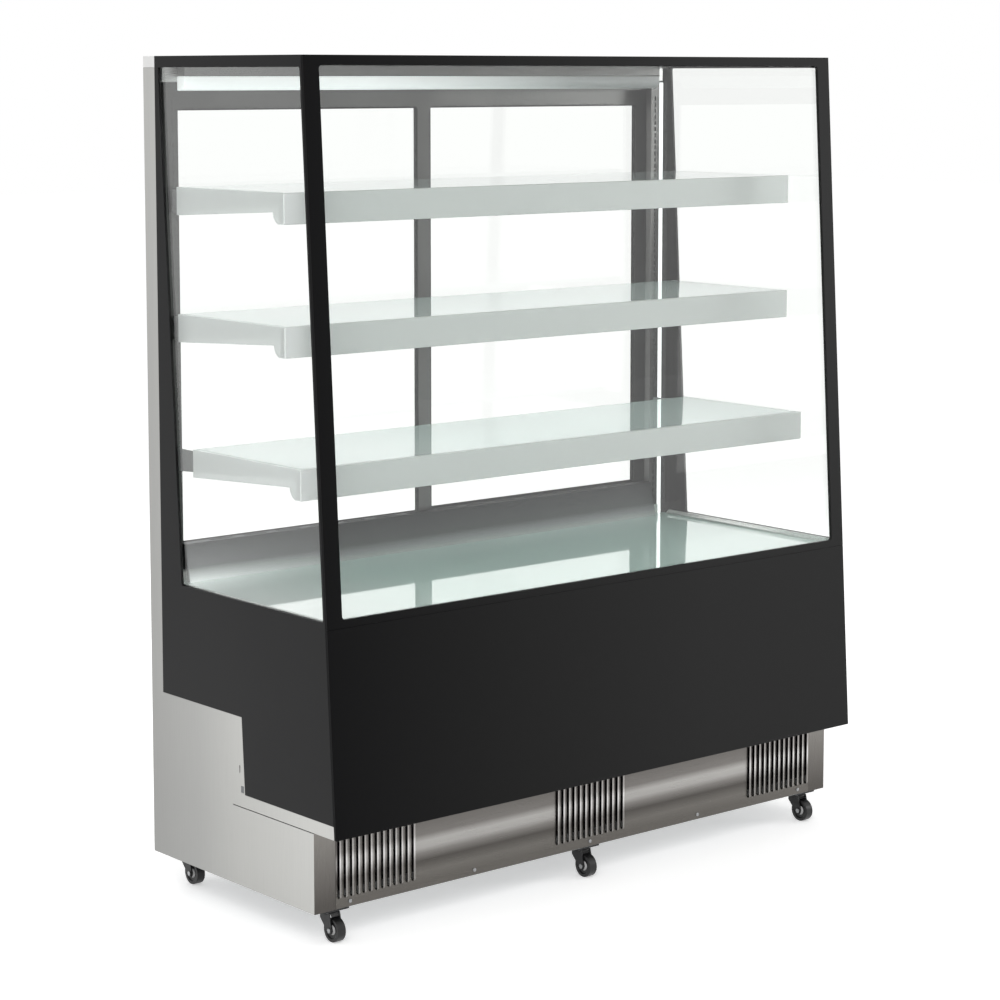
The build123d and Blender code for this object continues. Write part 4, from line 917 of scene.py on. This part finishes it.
def finnedCoil(node, height):
    # thin fins on rows of tubes, two end plates, and bends that join the tubes in pairs
    low, high = [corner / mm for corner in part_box(node)]
    x0, x1 = low.x + coils["plate"], high.x - coils["plate"]
    y0, y1 = low.y + coils["overhang"], high.y - coils["overhang"]
    z1 = high.z - coils["above"]
    z0 = z1 - height
    firstFin = x0 + coils["firstFin"]
    fins = bar("fins", (firstFin, y0, z0), (firstFin + coils["fin"], y1, z1))
    count = int((x1 - x0 - 2 * coils["firstFin"]) / coils["finPitch"])
    applyModifier(
        fins, "ARRAY", count=count, use_relative_offset=False, use_constant_offset=True,
        constant_offset_displace=(coils["finPitch"] * mm, 0, 0),
    )
    plates = [
        bar("plate", (low.x, low.y, low.z), (x0, high.y, high.z)),
        bar("plate", (x1, low.y, low.z), (high.x, high.y, high.z)),
    ]
    for plate in plates:
        softenEdges(plate, coils["plateEdge"])
    block = joined(node + "_finned", fins, *plates)
    dress(block, finStock, standsFor=(node,))

    step = coils["tubeStep"]
    columns = max(1, int((y1 - y0) / step))
    rows = int((z1 - z0) / step)
    rows -= rows % 2
    bpy.ops.mesh.primitive_torus_add(
        major_radius=step / 2 * mm, minor_radius=coils["tube"] * mm,
        major_segments=24, minor_segments=12, rotation=(math.pi / 2, 0, 0),
    )
    bend = newest("bend")
    settle(bend)
    editMode(bend)
    bpy.ops.mesh.select_all(action="SELECT")
    bpy.ops.mesh.bisect(plane_co=(0, 0, 0), plane_no=(1, 0, 0), clear_inner=True, use_fill=True)
    objectMode()
    end = coils["tubeEnd"]
    tubes = []
    for column in range(columns):
        y = (y0 + y1) / 2 + (column - (columns - 1) / 2) * step
        for row in range(rows):
            z = (z0 + z1) / 2 + (row - (rows - 1) / 2) * step
            length = x1 - x0 + 2 * end
            tubes.append(rod("tube", ((x0 + x1) / 2, y, z), coils["tube"], length, "X", 16))
            if row % 2 == 0:
                tubes.append(shifted(bend, "bend_copy", x1 + end, y, z + step / 2))
            elif row < rows - 1:
                turned = copyOf(bend, "bend_copy", Matrix.Rotation(math.pi, 4, "Z"))
                turned.data.transform(Matrix.Translation(Vector((x0 - end, y, z + step / 2)) * mm))
                tubes.append(turned)
    discard(bend)
    tubes = joined(node + "_tubes", *tubes)
    bpy.ops.object.shade_smooth_by_angle(angle=math.radians(35))
    dress(tubes, copperTube)


def makeCoolingSet():
    for node, (body, tip, axis) in blades["fans"].items():
        bladedFan(node, body, tip, axis)
    for node, height in coils["heights"].items():
        finnedCoil(node, height)
    shell = copyOfNode("compressor", "compressor_shell")
    softenEdges(shell, pot["edge"], 2)
    low, high = [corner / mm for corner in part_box("compressor")]
    centre = Vector(((low.x + high.x) / 2, high.y - pot["rearReach"], low.z + pot["seamRise"]))
    bpy.ops.mesh.primitive_torus_add(
        major_radius=pot["seamRadius"] * mm, minor_radius=pot["seam"] * mm,
        major_segments=96, minor_segments=10, location=centre * mm,
    )
    seam = newest("weld_seam")
    settle(seam)
    shell = joined("compressor_shell", shell, seam)
    dress(shell, glossEnamel, standsFor=("compressor",))
    print("cooling set made")


makeCoolingSet()

# Floor, light and camera
studio = {
    "floor": "#f2f2f2", "floorSize": 60, "floorGlow": 0.38, "fill": 0.75,
    # each lamp: place, the point it faces, size and power
    "lamps": {
        "keyLamp": ((-3.2, -3.4, 3.6), (0, 0, 0.9), 2.6, 90),
        "sideLamp": ((5.2, -3.0, 1.6), (0, 0, 0.8), 1.4, 50),
        "backLamp": ((0.5, 3.8, 3.0), (0, 0, 1.0), 2.4, 50),
    },
}
viewpoint = {
    "place": (-3.823, -4.497, 1.761), "heading": 40.124, "tilt": -6.354,
    "focalPixels": 2653.4, "framePixels": 1000, "dropPixels": 130, "sensor": 36, "reach": 100,
}


def makeStudio():
    bpy.ops.mesh.primitive_plane_add(size=studio["floorSize"], location=(0, 0, 0))
    floor = newest("studio_floor")
    values = {
        "Roughness": 1.0, "Specular IOR Level": 0.0, "Base Color": colourOf(studio["floor"]),
        "Emission Color": (1, 1, 1, 1),
    }
    material, tree, shader = newMaterial("pale studio floor", values)
    path = addNode(tree, "ShaderNodeLightPath")
    bounced = addNode(
        tree, "ShaderNodeMapRange", {"To Min": studio["floorGlow"], "To Max": 0.0},
        {"Value": path.outputs["Is Diffuse Ray"]},
    )
    tree.links.new(bounced.outputs["Result"], shader.inputs["Emission Strength"])
    floor.data.materials.append(material)

    world = bpy.data.worlds.new("studio")
    bpy.context.scene.world = world
    world.use_nodes = True
    tree = world.node_tree
    background = tree.nodes["Background"]
    background.inputs["Color"].default_value = (1, 1, 1, 1)
    path = addNode(tree, "ShaderNodeLightPath")
    seen = addNode(
        tree, "ShaderNodeMath", {},
        {0: path.outputs["Is Camera Ray"], 1: path.outputs["Is Glossy Ray"]}, operation="MAXIMUM",
    )
    seen = addNode(
        tree, "ShaderNodeMath", {},
        {0: seen.outputs[0], 1: path.outputs["Is Transmission Ray"]}, operation="MAXIMUM",
    )
    level = addNode(
        tree, "ShaderNodeMapRange", {"To Min": studio["fill"], "To Max": 1.0},
        {"Value": seen.outputs[0]},
    )
    tree.links.new(level.outputs["Result"], background.inputs["Strength"])

    for name, (place, target, size, power) in studio["lamps"].items():
        bpy.ops.object.light_add(type="AREA", location=place)
        lamp = newest(name)
        lamp.data.size = size
        lamp.data.energy = power
        aim = Vector(target) - Vector(place)
        lamp.rotation_euler = aim.to_track_quat("-Z", "Y").to_euler()
    print("studio made")


def makeCamera():
    bpy.ops.object.camera_add(location=viewpoint["place"])
    camera = newest("viewpoint")
    camera.rotation_euler = (
        math.radians(90 + viewpoint["tilt"]), 0, -math.radians(viewpoint["heading"])
    )
    camera.data.sensor_width = viewpoint["sensor"]
    camera.data.lens = viewpoint["sensor"] * viewpoint["focalPixels"] / viewpoint["framePixels"]
    camera.data.shift_y = -viewpoint["dropPixels"] / viewpoint["framePixels"]
    camera.data.clip_end = viewpoint["reach"]
    bpy.context.scene.camera = camera


makeStudio()
makeCamera()
bpy.context.scene.view_settings.view_transform = "Standard"
